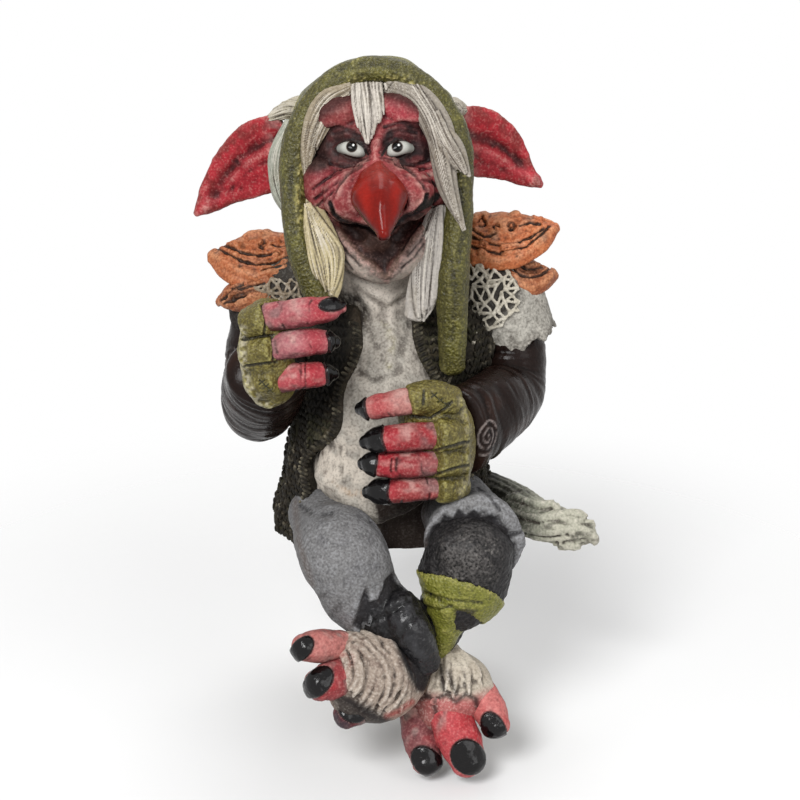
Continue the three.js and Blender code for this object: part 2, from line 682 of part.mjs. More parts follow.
const vestRib = (turn) => {
  const angle = (2 * Math.PI * turn) / TRUNK_FACETS;
  const sunk = VEST_THICKNESS + VEST_RIB_HEIGHT - VEST_RIB_RADIUS;
  const run = [0, 0.25, 0.5, 0.75, 1].map((t) => stop(trunk.onSkin(t, angle, sunk), VEST_RIB_RADIUS));
  return swell(run, { side: [Math.cos(angle), Math.sin(angle), 0], around: 6 });
};
const ribTurns = [-2, -1, 0, 1, 2, 3, 4, 5, 6, 7, 8, 9, 10];
piece("vest", darkKnit, [vestShell, ...ribTurns.map(vestRib)], { cut: [vestOpening, ...flatSeat] });

// Hood: a thick roll arching over the face and hanging as two tails, and the cap behind it
const archAt = (degrees) => {
  const angle = THREE.MathUtils.degToRad(degrees);
  const out = HOOD_ARCH_HALF_WIDTH * Math.cos(angle);
  return fromHead(out, -24 + 10 * Math.max(0, Math.sin(angle)), HOOD_ARCH_RISE * Math.sin(angle));
};
const leftTailTop = archAt(-6);
const rightTailTop = archAt(186);
const hoodRoll = swell(
  [
    stop(along(leftTailTop, -3, -5, -LEFT_HOOD_TAIL_DROP), HOOD_TAIL_RADIUS - 0.6),
    stop(along(leftTailTop, -3, -6, -LEFT_HOOD_TAIL_DROP / 2), HOOD_TAIL_RADIUS + 0.6, HOOD_TAIL_RADIUS),
    ...[-6, 20, 45, 70, 90, 110, 135, 160, 186].map((degrees) => stop(archAt(degrees), HOOD_ROLL_RADIUS)),
    stop(along(rightTailTop, 5, -7, -RIGHT_HOOD_TAIL_DROP / 2), HOOD_TAIL_RADIUS + 0.6, HOOD_TAIL_RADIUS),
    stop(along(rightTailTop, 19, -11, -RIGHT_HOOD_TAIL_DROP), HOOD_TAIL_RADIUS - 0.4),
  ],
  { side: [0, -1, 0.3] },
);
piece("hood_roll", greenCloth, [hoodRoll]);
const hoodCap = swell(
  [
    stop(fromHead(0, 24, -44), HOOD_CAP_HALF_WIDTH - 8, HOOD_CAP_HALF_DEPTH - 16),
    stop(fromHead(0, 13, -24), HOOD_CAP_HALF_WIDTH - 1, HOOD_CAP_HALF_DEPTH),
    stop(fromHead(0, 8, 0), HOOD_CAP_HALF_WIDTH, HOOD_CAP_HALF_DEPTH),
    stop(fromHead(0, 6, 20), HOOD_CAP_HALF_WIDTH - 7, HOOD_CAP_HALF_DEPTH - 5),
    stop(fromHead(0, 5, 32), HOOD_CAP_HALF_WIDTH - 20, HOOD_CAP_HALF_DEPTH - 20),
  ],
  { around: 16, square: 2.8, domes: [0.2, 0.35] },
);
const openingHalfWidth = HOOD_ARCH_HALF_WIDTH - 3;
const openingEnds = [-100, -12].map((y) => stop(fromHead(0, y, 0), openingHalfWidth, HOOD_ARCH_RISE - 2));
const inFrontOfRoll = [
  archAt(90),
  archAt(0),
  leftTailTop,
  along(leftTailTop, 0, -200, -200),
  along(archAt(90), 0, -200, 200),
];
const faceOpening = [
  swell(openingEnds, { around: 16, domes: [0, 0] }),
  block(fromHead(-openingHalfWidth, -100, -100), fromHead(openingHalfWidth, -12, 0)),
  sidePrism(inFrontOfRoll),
];
piece("hood_cap", greenCloth, [hoodCap], { cut: faceOpening.map((make) => () => make()) });

// Shoulders: a lace net over each sleeve head, then two bracket fungi on each shoulder
const netOutline = [
  [-10, 0.78],
  [4, 0.67],
  [17, 0.11],
  [10, -0.56],
  [-6, -1],
  [-12, -0.89],
].map(([x, share]) => [x, share * SLEEVE_DROP]);
const netHoles = [];
for (let row = -1; row <= 1; row++)
  for (let column = -1; column <= 1; column++)
    netHoles.push([(column + row / 2) * LACE_PITCH, (row * LACE_PITCH * Math.sqrt(3)) / 2]);
const hexagon = [0, 1, 2, 3, 4, 5].map((k) => (k * Math.PI) / 3);
for (const side of [LEFT, RIGHT]) {
  const middle = point(side * (SHOULDER_REACH - 3), 0, SHOULDER_HEIGHT + 3);
  const place = ([x, z]) => [middle.x + side * x, middle.z + z];
  const hole = ([x, z]) =>
    hexagon.map((a) => place([x + LACE_GAP_RADIUS * Math.cos(a), z + LACE_GAP_RADIUS * Math.sin(a)]));
  const raised = sleeves[sideName(side)].map(({ at, wide }) => stop(at, wide + LACE_THICKNESS + GLUE_GAP));
  piece(sideName(side) + "_lace", whiteLace, [sleeve(raised)], {
    keep: [frontPrism(netOutline.map(place), -60, -8)],
    cut: netHoles.map((centre) => frontPrism(hole(centre), -61, -7)),
  });
}
const fungus = (name, root, reach, rise, halfWidth) => {
  const thick = FUNGUS_THICKNESS / 2;
  piece(name, orangeFungus, [
    swell(
      [
        stop(root, halfWidth * 0.88, thick),
        stop(along(root, reach * 0.36, -2, rise * 0.1), halfWidth, thick),
        stop(along(root, reach * 0.73, -1, rise * 0.5), halfWidth * 0.68, thick * 0.8),
        stop(along(root, reach, 2, rise), 2.2, 1.8),
      ],
      { side: [0, -0.69, -0.73] },
    ),
  ]);
};
fungus("left_upper_fungus", point(SHOULDER_REACH - 8, -4, SHOULDER_HEIGHT + 24), 33, 5, 13.5);
fungus("left_lower_fungus", point(SHOULDER_REACH, -8, SHOULDER_HEIGHT + 9), 25, 0, 9.5);
fungus("right_upper_fungus", point(-SHOULDER_REACH + 6, -4, SHOULDER_HEIGHT + 15), -33, 1, 15);
fungus("right_lower_fungus", point(-SHOULDER_REACH + 2, -13, SHOULDER_HEIGHT + 5), -25, -5, 9.5);

// Tail: comes out of the vest at the left hip, lies on the ledge and ends in a tuft
const tailRoot = point(SEAT_HALF_WIDTH - 4, 2, TAIL_RADIUS + 1);
piece(
  "tail",
  paleFur,
  [
    swell(
      [
        stop(tailRoot, TAIL_RADIUS),
        stop(along(tailRoot, 16, -18, 0), TAIL_RADIUS),
        stop(along(tailRoot, 25, -36, 0.5), TAIL_TUFT_HALF_WIDTH, TAIL_TUFT_HALF_WIDTH - 2),
        stop(along(tailRoot, 38, -44, -0.5), TAIL_TUFT_HALF_WIDTH - 1, TAIL_TUFT_HALF_WIDTH - 4),
        stop(along(tailRoot, 50, -46, -4), 3, 2.4),
      ],
      { side: [0, 0, 1] },
    ),
  ],
  { cut: flatSeat },
);

export default figure;
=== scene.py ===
import math

import bpy
import numpy as np
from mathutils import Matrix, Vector
from mathutils.bvhtree import BVHTree
from mathutils.kdtree import KDTree


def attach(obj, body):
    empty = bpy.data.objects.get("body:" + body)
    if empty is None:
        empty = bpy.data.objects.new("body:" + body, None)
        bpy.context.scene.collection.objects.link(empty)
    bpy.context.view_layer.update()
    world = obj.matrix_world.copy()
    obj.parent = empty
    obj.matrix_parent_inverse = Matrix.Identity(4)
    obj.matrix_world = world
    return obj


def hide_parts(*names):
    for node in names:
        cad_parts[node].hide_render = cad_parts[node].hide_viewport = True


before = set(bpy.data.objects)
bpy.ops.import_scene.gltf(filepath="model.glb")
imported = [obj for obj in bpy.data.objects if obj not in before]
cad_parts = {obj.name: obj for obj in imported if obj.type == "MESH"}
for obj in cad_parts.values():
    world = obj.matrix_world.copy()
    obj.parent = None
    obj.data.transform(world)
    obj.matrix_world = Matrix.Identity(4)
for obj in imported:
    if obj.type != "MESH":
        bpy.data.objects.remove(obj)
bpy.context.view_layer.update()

scene = bpy.context.scene

# Body. The tunic-clad trunk is one solid resin casting with a flat seat, a belly that sags over the lap and
# a high collar. Every other casting is glued to it. The tunic was combed upright while the clay was soft,
# then painted pale grey with a dark wash in the combing.
VIEWPOINT_DISTANCE = 900
VIEWPOINT_RISE = math.radians(20)
VIEWPOINT_TARGET = np.array([6.0, 0.0, 50.0])
TOWARD = np.array([0, -math.cos(VIEWPOINT_RISE), math.sin(VIEWPOINT_RISE)])
UPWARD = np.array([0, math.sin(VIEWPOINT_RISE), math.cos(VIEWPOINT_RISE)])
PORTRAIT_SCALE = 838.8
RINGS_PER_STOP = 10
DOME_RINGS = 6
TRUNK = [
    (0, -4, -6, 42, 40), (0, -5, 28, 38, 39), (0, -6, 56, 35, 35), (0, -4, 86, 42, 30), (0, -7, 102, 26, 18)
]
TRUNK_SQUARE = 2.8
BELLY = [(0, -12, 86, 23, 22), (-2, -30, 56, 27, 22), (-4, -39, 38, 27, 17), (-14, -46, 25, 18, 11)]
COLLAR = [(0, -8, 94, 21), (-2, -19, 120, 18)]


def ink(code):
    """A paint colour written as six hex digits, as the linear values that a shader takes."""
    part = np.array([int(code[i : i + 2], 16) for i in (0, 2, 4)]) / 255
    return np.where(part <= 0.04045, part / 12.92, ((part + 0.055) / 1.055) ** 2.4)


def ease(x):
    """0 up to 0, 1 from 1 on, and a smooth step between."""
    x = np.clip(x, 0, 1)
    return x * x * (3 - 2 * x)


def spline(rows, at):
    """A smooth run through rows of numbers, read `at` so many even places or at the places listed."""
    p = np.asarray(rows, float)
    p = np.vstack([2 * p[0] - p[1], p, 2 * p[-1] - p[-2]])
    t = np.linspace(0, len(rows) - 1, at) if np.isscalar(at) else np.clip(at, 0, len(rows) - 1)
    i = np.minimum(t.astype(int), len(rows) - 2)
    f = (t - i)[:, None]
    a, b, c, d = p[i], p[i + 1], p[i + 2], p[i + 3]
    return 0.5 * (2 * b + (c - a) * f + (2 * a - 5 * b + 4 * c - d) * f**2 + (3 * b - a - 3 * c + d) * f**3)


def unit(v):
    """Directions of length 1."""
    return v / np.maximum(np.linalg.norm(v, axis=-1, keepdims=True), 1e-9)


def squared(angle, square):
    """Cosine and sine of an angle on a circle, where `square` is 2, or on a rounder or squarer outline."""
    return [np.sign(w) * np.abs(w) ** (2 / square) for w in (np.cos(angle), np.sin(angle))]


def directions(run, side):
    """Two directions square to a run: the one nearest to `side`, and the one square to both."""
    side = np.array(side, float)
    across = unit(side - run * (run @ side)[:, None])
    return across, np.cross(run, across)


def swell(stops, side=(1, 0, 0), square=2.0, domes=(0.8, 0.8), grow=0.0, around=40):
    """A rounded form along a smooth spine. A stop is x, y, z, half width along `side` and half depth."""
    rows = [s if len(s) == 5 else (*s, s[3]) for s in stops]
    line = spline(rows, RINGS_PER_STOP * (len(rows) - 1) + 1)
    at, size = line[:, :3], np.maximum(line[:, 3:] + grow, 0.05)
    run = unit(np.gradient(at, axis=0))
    turn = np.linspace(0, math.pi / 2, DOME_RINGS, endpoint=False)
    low, high = min(size[0]) * domes[0], min(size[-1]) * domes[1]
    start = at[0] - run[0] * low * np.cos(turn)[:, None]
    end = at[-1] + run[-1] * high * np.cos(turn)[::-1, None]
    centre = np.vstack([start, at, end])
    shrink = np.concatenate([np.sin(turn) + 0.02, np.ones(len(at)), np.sin(turn)[::-1] + 0.02])
    run = np.vstack([np.repeat(run[:1], DOME_RINGS, 0), run, np.repeat(run[-1:], DOME_RINGS, 0)])
    size = np.vstack([np.repeat(size[:1], DOME_RINGS, 0), size, np.repeat(size[-1:], DOME_RINGS, 0)])
    size = size * shrink[:, None]
    across, up = directions(run, side)
    c, s = squared(np.linspace(0, 2 * math.pi, around, endpoint=False), square)
    rings = (
        centre[:, None]
        + across[:, None] * (c * size[:, :1])[:, :, None]
        + up[:, None] * (s * size[:, 1:])[:, :, None]
    )
    n = len(centre)
    i, j = np.meshgrid(np.arange(n - 1) * around, np.arange(around), indexing="ij")
    k = (j + 1) % around
    quads = np.stack([i + j, i + k, i + k + around, i + j + around], -1).reshape(-1, 4).tolist()
    ends = [list(range(around))[::-1], list(range((n - 1) * around, n * around))]
    return rings.reshape(-1, 3).tolist(), quads + ends


def lump(centre, half, turn=0.0):
    """A rounded lump with three half sizes, turned about the front-to-back axis by so many degrees."""
    a = math.radians(turn)
    points, faces = swell([(0, 0, -0.01, 1), (0, 0, 0.01, 1)], domes=(1, 1), around=28)
    p = np.array(points) * half
    x, z = p[:, 0] * math.cos(a) - p[:, 2] * math.sin(a), p[:, 0] * math.sin(a) + p[:, 2] * math.cos(a)
    return (np.column_stack([x, p[:, 1], z]) + centre).tolist(), faces


def grain(co, size, seed):
    """Smooth noise from -1 to 1 with lumps about `size` mm across, the same on every run."""
    p = co / np.asarray(size, float) + 200.0
    cell = np.floor(p).astype(np.int64)
    f = p - cell
    f = f * f * (3 - 2 * f)
    total = np.zeros(len(co))
    for corner in range(8):
        bit = np.array([corner & 1, corner >> 1 & 1, corner >> 2 & 1])
        c = cell + bit
        h = (
            c[:, 0] * 73856093 ^ c[:, 1] * 19349663 ^ c[:, 2] * 83492791 ^ (seed + 1) * 2654435761
        ) & 0xFFFFFFFF
        h = ((h ^ (h >> 13)) * 1274126177) & 0xFFFFFFFF
        h = h ^ (h >> 16)
        total += np.prod(np.where(bit, f, 1 - f), axis=1) * ((h & 0xFFFF) / 32767.5 - 1)
    return total


def distance(points, path):
    """How far points lie from a path, in the plane or in space."""
    best = np.full(len(points), 1e9)
    for a, b in zip(np.array(path[:-1], float), np.array(path[1:], float)):
        along = np.clip((points - a) @ (b - a) / max((b - a) @ (b - a), 1e-9), 0, 1)
        best = np.minimum(best, np.linalg.norm(points - a - along[:, None] * (b - a), axis=1))
    return best


def within(points, outline, soft):
    """1 for points of the portrait inside an outline, 0 outside, with a soft edge."""
    inside = np.zeros(len(points), bool)
    for (ax, ay), (bx, by) in zip(outline, outline[1:] + outline[:1]):
        crosses = (ay > points[:, 1]) != (by > points[:, 1])
        inside ^= crosses & (points[:, 0] < (bx - ax) * (points[:, 1] - ay) / ((by - ay) or 1e-9) + ax)
    away = distance(points, outline + outline[:1])
    return ease(0.5 + np.where(inside, away, -away) / (2 * soft))


def joined(forms):
    """The points and faces of several forms as one form."""
    points, faces = [], []
    for form_points, form_faces in forms:
        faces += [[i + len(points) for i in face] for face in form_faces]
        points += form_points
    return points, faces


def mesh_form(mesh):
    """The points of a mesh in mm, and its faces."""
    flat = np.empty(len(mesh.vertices) * 3, np.float32)
    mesh.vertices.foreach_get("co", flat)
    return (flat.reshape(-1, 3) * 1000).tolist(), [list(p.vertices) for p in mesh.polygons]


def settled(obj):
    """Turns an object's modifiers into its own mesh."""
    worked = bpy.data.meshes.new_from_object(obj.evaluated_get(bpy.context.evaluated_depsgraph_get()))
    worked.name = obj.name
    obj.modifiers.clear()
    obj.data = worked


class Casting:
    """A piece while it is modelled: forms joined under one skin, pushed along its normals, then painted."""

    def __init__(self, name, forms, skin=0, soften=4, colour="808080"):
        points, faces = joined(forms)
        name = name + "_casting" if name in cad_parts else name
        mesh = bpy.data.meshes.new(name)
        mesh.from_pydata((np.array(points) / 1000).tolist(), [], faces)
        self.obj = bpy.data.objects.new(name, mesh)
        scene.collection.objects.link(self.obj)
        if skin:
            even = self.obj.modifiers.new("even_skin", "REMESH")
            even.mode = "VOXEL"
            even.voxel_size = skin / 1000
            soft = self.obj.modifiers.new("soft_edges", "SMOOTH")
            soft.iterations = soften
            settled(self.obj)
        self.read()
        ends = np.empty(len(self.obj.data.edges) * 2, np.int32)
        self.obj.data.edges.foreach_get("vertices", ends)
        self.ends = ends.reshape(-1, 2)
        self.degree = np.maximum(np.bincount(self.ends.ravel(), minlength=len(self.co)), 1)
        self.tint = np.tile(ink(colour), (len(self.co), 1))
        self.gloss = np.zeros(len(self.co))

    def read(self):
        """Takes the places and the normals of the skin's points from the mesh, in mm."""
        flat = np.empty(len(self.obj.data.vertices) * 3, np.float32)
        self.obj.data.vertices.foreach_get("co", flat)
        self.co = flat.reshape(-1, 3).astype(float) * 1000
        self.obj.data.vertices.foreach_get("normal", flat)
        self.no = flat.reshape(-1, 3).astype(float)

    def move(self, offset):
        """Moves each point of the skin by its own offset."""
        self.obj.data.vertices.foreach_set("co", ((self.co + offset) / 1000).astype(np.float32).ravel())
        self.obj.data.update()
        self.read()

    def push(self, amount):
        """Moves each point of the skin outwards by its own amount."""
        self.move(self.no * np.asarray(amount)[:, None])

    def rest_on_ledge(self):
        """Lifts what lies below the ledge up to it, so that the underside is flat."""
        below = np.minimum(self.co[:, 2], 0)
        self.move(np.column_stack([0 * below, 0 * below, -below]))

    def grain(self, size, seed):
        """Smooth noise over the skin."""
        return grain(self.co, size, seed)

    def portrait(self):
        """Where the skin shows in the portrait, as mm across and up."""
        away = self.co - VIEWPOINT_TARGET
        depth = VIEWPOINT_DISTANCE - away @ TOWARD
        return np.column_stack([away[:, 0], away @ UPWARD]) * (PORTRAIT_SCALE / depth)[:, None]

    def facing(self):
        """1 where the skin faces the portrait's viewpoint, 0 where it faces away."""
        return ease((self.no @ TOWARD + 0.1) / 0.3)

    def line(self, path, width):
        """1 along a path drawn in the portrait, 0 from `width` mm to either side of it."""
        return ease(1 - distance(self.portrait(), path) / width) * self.facing()

    def lines(self, width, *paths):
        """1 along any of several paths."""
        return np.max([self.line(path, width) for path in paths], axis=0)

    def patch(self, outline, soft=1.0):
        """1 inside an outline drawn in the portrait, with a soft edge."""
        return within(self.portrait(), outline, soft) * self.facing()

    def paint(self, colour, share=1.0):
        """Lays a colour over the paint, by the share given for each point or for all."""
        share = np.broadcast_to(np.asarray(share, float), len(self.co))
        self.tint += (ink(colour) - self.tint) * np.clip(share, 0, 1)[:, None]

    def cloud(self, colour, size, seed, share):
        """Lays a colour over the paint in soft patches about `size` mm across."""
        self.paint(colour, ease(self.grain(size, seed)) * share)

    def fill(self, colour, share, soft, outline, mask=1.0):
        """Paints inside an outline drawn in the portrait."""
        self.paint(colour, share * self.patch(outline, soft) * mask)

    def stroke(self, colour, share, width, *paths, mask=1.0):
        """Paints along paths drawn in the portrait, to `width` mm on either side."""
        self.paint(colour, share * self.lines(width, *paths) * mask)

    def blur(self, values, times):
        """Values on the skin's points, each averaged with its neighbours so many times."""
        a, b = self.ends.T
        for _ in range(times):
            columns = [
                np.bincount(a, v[b], len(v)) + np.bincount(b, v[a], len(v)) for v in np.atleast_2d(values.T)
            ]
            values = (np.array(columns) / self.degree).T.reshape(values.shape)
        return values

    def finish(self, material, slot, *nodes, depth=0.3, reach=12):
        """Stores paint and wear on the skin, dresses it and puts it in place of its solids."""
        mesh = self.obj.data
        relief = ((self.blur(self.co, reach) - self.co) * self.no).sum(axis=1)
        relief -= np.median(relief)
        gloss = np.clip(self.gloss, 0, 1)
        wear = np.column_stack([ease(relief / depth), ease(-relief / depth) * (1 - gloss), gloss])
        for name, rows in (("paint", self.tint), ("wear", wear)):
            layer = mesh.attributes.new(name, "FLOAT_COLOR", "POINT")
            layer.data.foreach_set(
                "color", np.column_stack([rows, np.ones(len(rows))]).astype(np.float32).ravel()
            )
        mesh.polygons.foreach_set("use_smooth", np.ones(len(mesh.polygons), bool))
        mesh.materials.clear()
        mesh.materials.append(material)
        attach(self.obj, "root")
        if nodes:
            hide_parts(*nodes)


def node_group(family, name, inputs, outputs):
    """An empty group of shader or geometry nodes, and the sockets that it is given and that it has made."""
    tree = bpy.data.node_groups.new(name, family + "NodeTree")
    for way, sockets in (("INPUT", inputs), ("OUTPUT", outputs)):
        for label, kind, *default in sockets:
            socket = tree.interface.new_socket(name=label, in_out=way, socket_type="NodeSocket" + kind)
            if default:
                socket.default_value = default[0]
    return tree, tree.nodes.new("NodeGroupInput").outputs, tree.nodes.new("NodeGroupOutput").inputs


def feed(tree, taker, links):
    """Links a node's inputs to other nodes or sockets, or sets them to values."""
    for key, source in dict(links).items():
        source = source.outputs[0] if isinstance(source, bpy.types.Node) else source
        if isinstance(source, bpy.types.NodeSocket):
            tree.links.new(source, taker.inputs[key])
        else:
            taker.inputs[key].default_value = source


def node(tree, kind, links=(), **settings):
    """A new node with its settings, fed by the nodes, sockets or values in `links`."""
    made = tree.nodes.new(kind if "Node" in kind else "ShaderNode" + kind)
    for key, setting in settings.items():
        setattr(made, key, setting)
    feed(tree, made, links)
    return made


def remap(tree, source, span, to, **settings):
    """A value that runs over one span, carried over to another."""
    return node(tree, "MapRange", dict(enumerate((source, *span, *to))), **settings).outputs[0]


def colour_mix(tree, blend, factor, a, b):
    """The mixed colour of two colours."""
    return node(tree, "Mix", {0: factor, 6: a, 7: b}, data_type="RGBA", blend_type=blend).outputs[2]


def value(tree, operation, *terms):
    """What a Math node makes of its terms."""
    return node(tree, "Math", dict(enumerate(terms)), operation=operation).outputs[0]


def product(tree, first, *others):
    """Terms multiplied one after another."""
    for other in others:
        first = value(tree, "MULTIPLY", first, other)
    return first


WHITE = (1, 1, 1, 1)
aged_paint, given, made = node_group(
    "Shader",
    "aged_paint",
    [
        ("Paint", "Color", WHITE),
        ("Wear", "Color", WHITE),
        ("Wash Colour", "Color", WHITE),
        ("Rub Colour", "Color", WHITE),
        ("Wash Share", "Float", 0.8),
        ("Rub Share", "Float", 0.3),
        ("Blotch", "Float", 0.2),
        ("Grit", "Float", 0.5),
    ],
    [("Colour", "Color")],
)
place = node(aged_paint, "TexCoord").outputs["Object"]
wear_parts = node(aged_paint, "SeparateColor", {0: given["Wear"]})
broad = node(aged_paint, "TexNoise", {"Vector": place, "Scale": 110, "Detail": 4}).outputs[0]
speck = node(aged_paint, "TexNoise", {"Vector": place, "Scale": 900, "Detail": 2}).outputs[0]
shade = value(aged_paint, "MULTIPLY_ADD", value(aged_paint, "SUBTRACT", broad, 0.5), given["Blotch"], 1.0)
shade = value(aged_paint, "MULTIPLY_ADD", value(aged_paint, "SUBTRACT", speck, 0.5), given["Blotch"], shade)
tone = node(aged_paint, "CombineColor", {0: shade, 1: shade, 2: shade}).outputs[0]
colour = colour_mix(aged_paint, "MULTIPLY", 1.0, given["Paint"], tone)
patchy = remap(aged_paint, broad, (0.3, 0.65), (0.55, 1.0))
in_hollows = product(aged_paint, wear_parts.outputs[0], given["Wash Share"], patchy)
colour = colour_mix(aged_paint, "MIX", in_hollows, colour, given["Wash Colour"])
brushed = remap(aged_paint, speck, (0.42, 0.58), (0.2, 1.0))
paleness = node(aged_paint, "RGBToBW", {0: given["Paint"]}).outputs[0]
takes_rub = remap(aged_paint, paleness, (0.01, 0.1), (0.12, 1.0))
brushed = product(aged_paint, brushed, takes_rub)
on_ridges = product(aged_paint, wear_parts.outputs[1], given["Rub Share"], brushed)
colour = colour_mix(aged_paint, "MIX", on_ridges, colour, given["Rub Colour"])
fine = node(aged_paint, "TexNoise", {"Vector": place, "Scale": 1000, "Detail": 2}).outputs[0]
grit = product(aged_paint, given["Grit"], value(aged_paint, "SUBTRACT", 1.0, wear_parts.outputs[2]))
low_grit = remap(aged_paint, fine, (0.5, 0.33), (0.0, 0.85))
high_grit = remap(aged_paint, fine, (0.53, 0.68), (0.0, 0.7))
high_grit = product(aged_paint, high_grit, takes_rub)
colour = colour_mix(aged_paint, "MIX", product(aged_paint, low_grit, grit), colour, given["Wash Colour"])
colour = colour_mix(aged_paint, "MIX", product(aged_paint, high_grit, grit), colour, given["Rub Colour"])
aged_paint.links.new(colour, made["Colour"])

worn_sheen, given, made = node_group(
    "Shader",
    "worn_sheen",
    [("Wear", "Color", WHITE), ("Roughness", "Float", 0.6), ("Lacquer Roughness", "Float", 0.12)],
    [("Roughness", "Float"), ("Coat", "Float")],
)
place = node(worn_sheen, "TexCoord").outputs["Object"]
cloudy = node(worn_sheen, "TexNoise", {"Vector": place, "Scale": 240, "Detail": 3}).outputs[0]
lacquer = node(worn_sheen, "SeparateColor", {0: given["Wear"]}).outputs[2]
dull = value(
    worn_sheen, "MULTIPLY_ADD", value(worn_sheen, "SUBTRACT", cloudy, 0.5), 0.3, given["Roughness"]
)
mixed = node(worn_sheen, "Mix", {0: lacquer, 2: dull, 3: given["Lacquer Roughness"]}).outputs[0]
worn_sheen.links.new(mixed, made["Roughness"])
worn_sheen.links.new(product(worn_sheen, lacquer, 0.25), made["Coat"])

cast_grain, given, made = node_group(
    "Shader",
    "cast_grain",
    [("Pebble Scale", "Float", 900.0), ("Pit Share", "Float", 0.4)],
    [("Height", "Float")],
)
place = node(cast_grain, "TexCoord").outputs["Object"]
pebble = node(
    cast_grain, "TexNoise", {"Vector": place, "Scale": given["Pebble Scale"], "Detail": 3}
).outputs[0]
pits = node(cast_grain, "TexVoronoi", {"Vector": place, "Scale": given["Pebble Scale"]}).outputs[0]
cast_grain.links.new(value(cast_grain, "MULTIPLY_ADD", pits, given["Pit Share"], pebble), made["Height"])

GRAIN_DEPTH = 0.0006
COAT_ROUGHNESS = 0.08


def painted(
    name, rough, wash, rub, shares=(0.8, 0.3), blotch=0.25, pebble=900.0, pits=0.4, bump=0.25, grit=0.5,
    shine=0.2,
):
    """Painted resin: the stored paint with a dark wash in the hollows and a pale rub on the ridges."""
    material = bpy.data.materials.new(name)
    material.use_nodes = True
    tree = material.node_tree
    coat = node(tree, "Attribute", attribute_name="paint").outputs["Color"]
    wear = node(tree, "Attribute", attribute_name="wear").outputs["Color"]
    ageing = {
        "Paint": coat,
        "Wear": wear,
        "Wash Colour": (*ink(wash), 1),
        "Rub Colour": (*ink(rub), 1),
        "Wash Share": shares[0],
        "Rub Share": shares[1],
        "Blotch": blotch,
        "Grit": grit,
    }
    aged = node(tree, "Group", ageing, node_tree=aged_paint)
    sheen = node(tree, "Group", {"Wear": wear, "Roughness": rough}, node_tree=worn_sheen)
    relief = node(tree, "Group", {"Pebble Scale": pebble, "Pit Share": pits}, node_tree=cast_grain)
    raised = node(tree, "Bump", {"Height": relief, "Strength": bump, "Distance": GRAIN_DEPTH})
    surface = {
        "Base Color": aged,
        "Roughness": sheen.outputs["Roughness"],
        "Coat Weight": sheen.outputs["Coat"],
        "Coat Roughness": COAT_ROUGHNESS,
        "Specular IOR Level": shine,
        "Normal": raised,
    }
    feed(tree, tree.nodes["Principled BSDF"], surface)
    return material


tunic = Casting(
    "tunic_body",
    [
        swell(TRUNK, square=TRUNK_SQUARE, domes=(0, 0.3)),
        swell(BELLY, domes=(0.5, 0.6)),
        swell(COLLAR, domes=(0.5, 0.1)),
    ],
    1.0,
    colour="a8a197",
)
combing = (
    tunic.grain((1.5, 1.5, 9), 1)
    + 0.7 * grain(tunic.co + 3 * tunic.grain(14, 2)[:, None], (1.1, 1.1, 5), 3)
)
tunic.push(0.28 * combing + 0.5 * tunic.grain(9, 4))
collar_folds = tunic.lines(
    3.4,
    [(-22, 51.2), (-19.2, 46.4), (-12.8, 41.6), (-6.4, 37.6)],
    [(8.8, 52.8), (4.8, 45.6), (-0.8, 40), (-5.6, 36.8)],
    [(-16, 11.2), (-10.4, 8.4), (-4.8, 9.6), (0, 12)],
    [(-19.2, 44), (-13.6, 32.8), (-9.6, 22)],
    [(7.2, 40), (3.2, 28), (0.8, 19.2)],
)
tunic.push(
    -0.9 * collar_folds
    + 0.9 * tunic.lines(
        2.6,
        [(-23.2, 52.8), (-20, 48), (-13.6, 43.6), (-6.8, 40)],
        [(10, 54.4), (5.6, 47.6), (0, 42.4), (-4.8, 39.2)],
    )
)
tunic.push(0.8 * tunic.line([(-4, 40), (-3.2, 28), (-4.4, 11.2), (-5.6, -4)], 3))
tunic.paint("96938b", ease(0.5 + tunic.grain((3, 3, 20), 5)) * 0.45)
tunic.cloud("b9b1a6", (4, 4, 18), 6, 0.55)
tunic.stroke(
    "8a8436", 0.55, 2.4,
    [(-6, 31.2), (-3.2, 24), (-4.4, 12.8)],
    [(-19.2, 40), (-15.2, 32.8)],
    mask=ease(0.6 + tunic.grain(2, 7)),
)
tunic.stroke(
    "a4722f", 0.6, 2.2,
    [(-23.6, -35.6), (-19.2, -37.6), (-14.4, -36.8)],
    [(-27.6, -32), (-25.2, -35.6)],
    mask=ease(0.5 + tunic.grain(1.5, 8)),
)
# Painted shade: dark brown lines down the sides of the collar and the lower right side of the tunic, where
# it meets the parts round it.
tunic.stroke(
    "4b3a31", 0.75, 3.2,
    [(-22, 53.6), (-24.8, 44), (-25.6, 28)],
    [(9.6, 55.2), (12.8, 40), (16, 28)],
    [(-28, 2), (-31.2, -20), (-28, -36)],
)
# Painted shade: the front of the trunk below the belly, seen between the thighs, is painted dark brown.
tunic.fill("271d19", 1.0, 1.6, [(-11.2, -38.4), (-3.2, -30.4), (12.8, -28), (14.4, -64.8), (-6.4, -64.8)])
# The collar under the chin is pale cloth, painted paler still as painted light where the chin's shade falls
# on it.
tunic.fill(
    "d9cfc3", 0.9, 3, [(-24.8, 55.2), (-6.4, 47.2), (9.6, 55.2), (7.2, 40), (-4, 31.2), (-20.8, 39.2)]
)
tunic.fill(
    "d8cdbf", 0.85, 5,
    [(-37.6, -28), (-31.2, -15.2), (-19.2, -12), (-12, -26.4), (-13.6, -40), (-36, -40)],
    mask=ease(0.75 + tunic.grain(3, 9)),
)
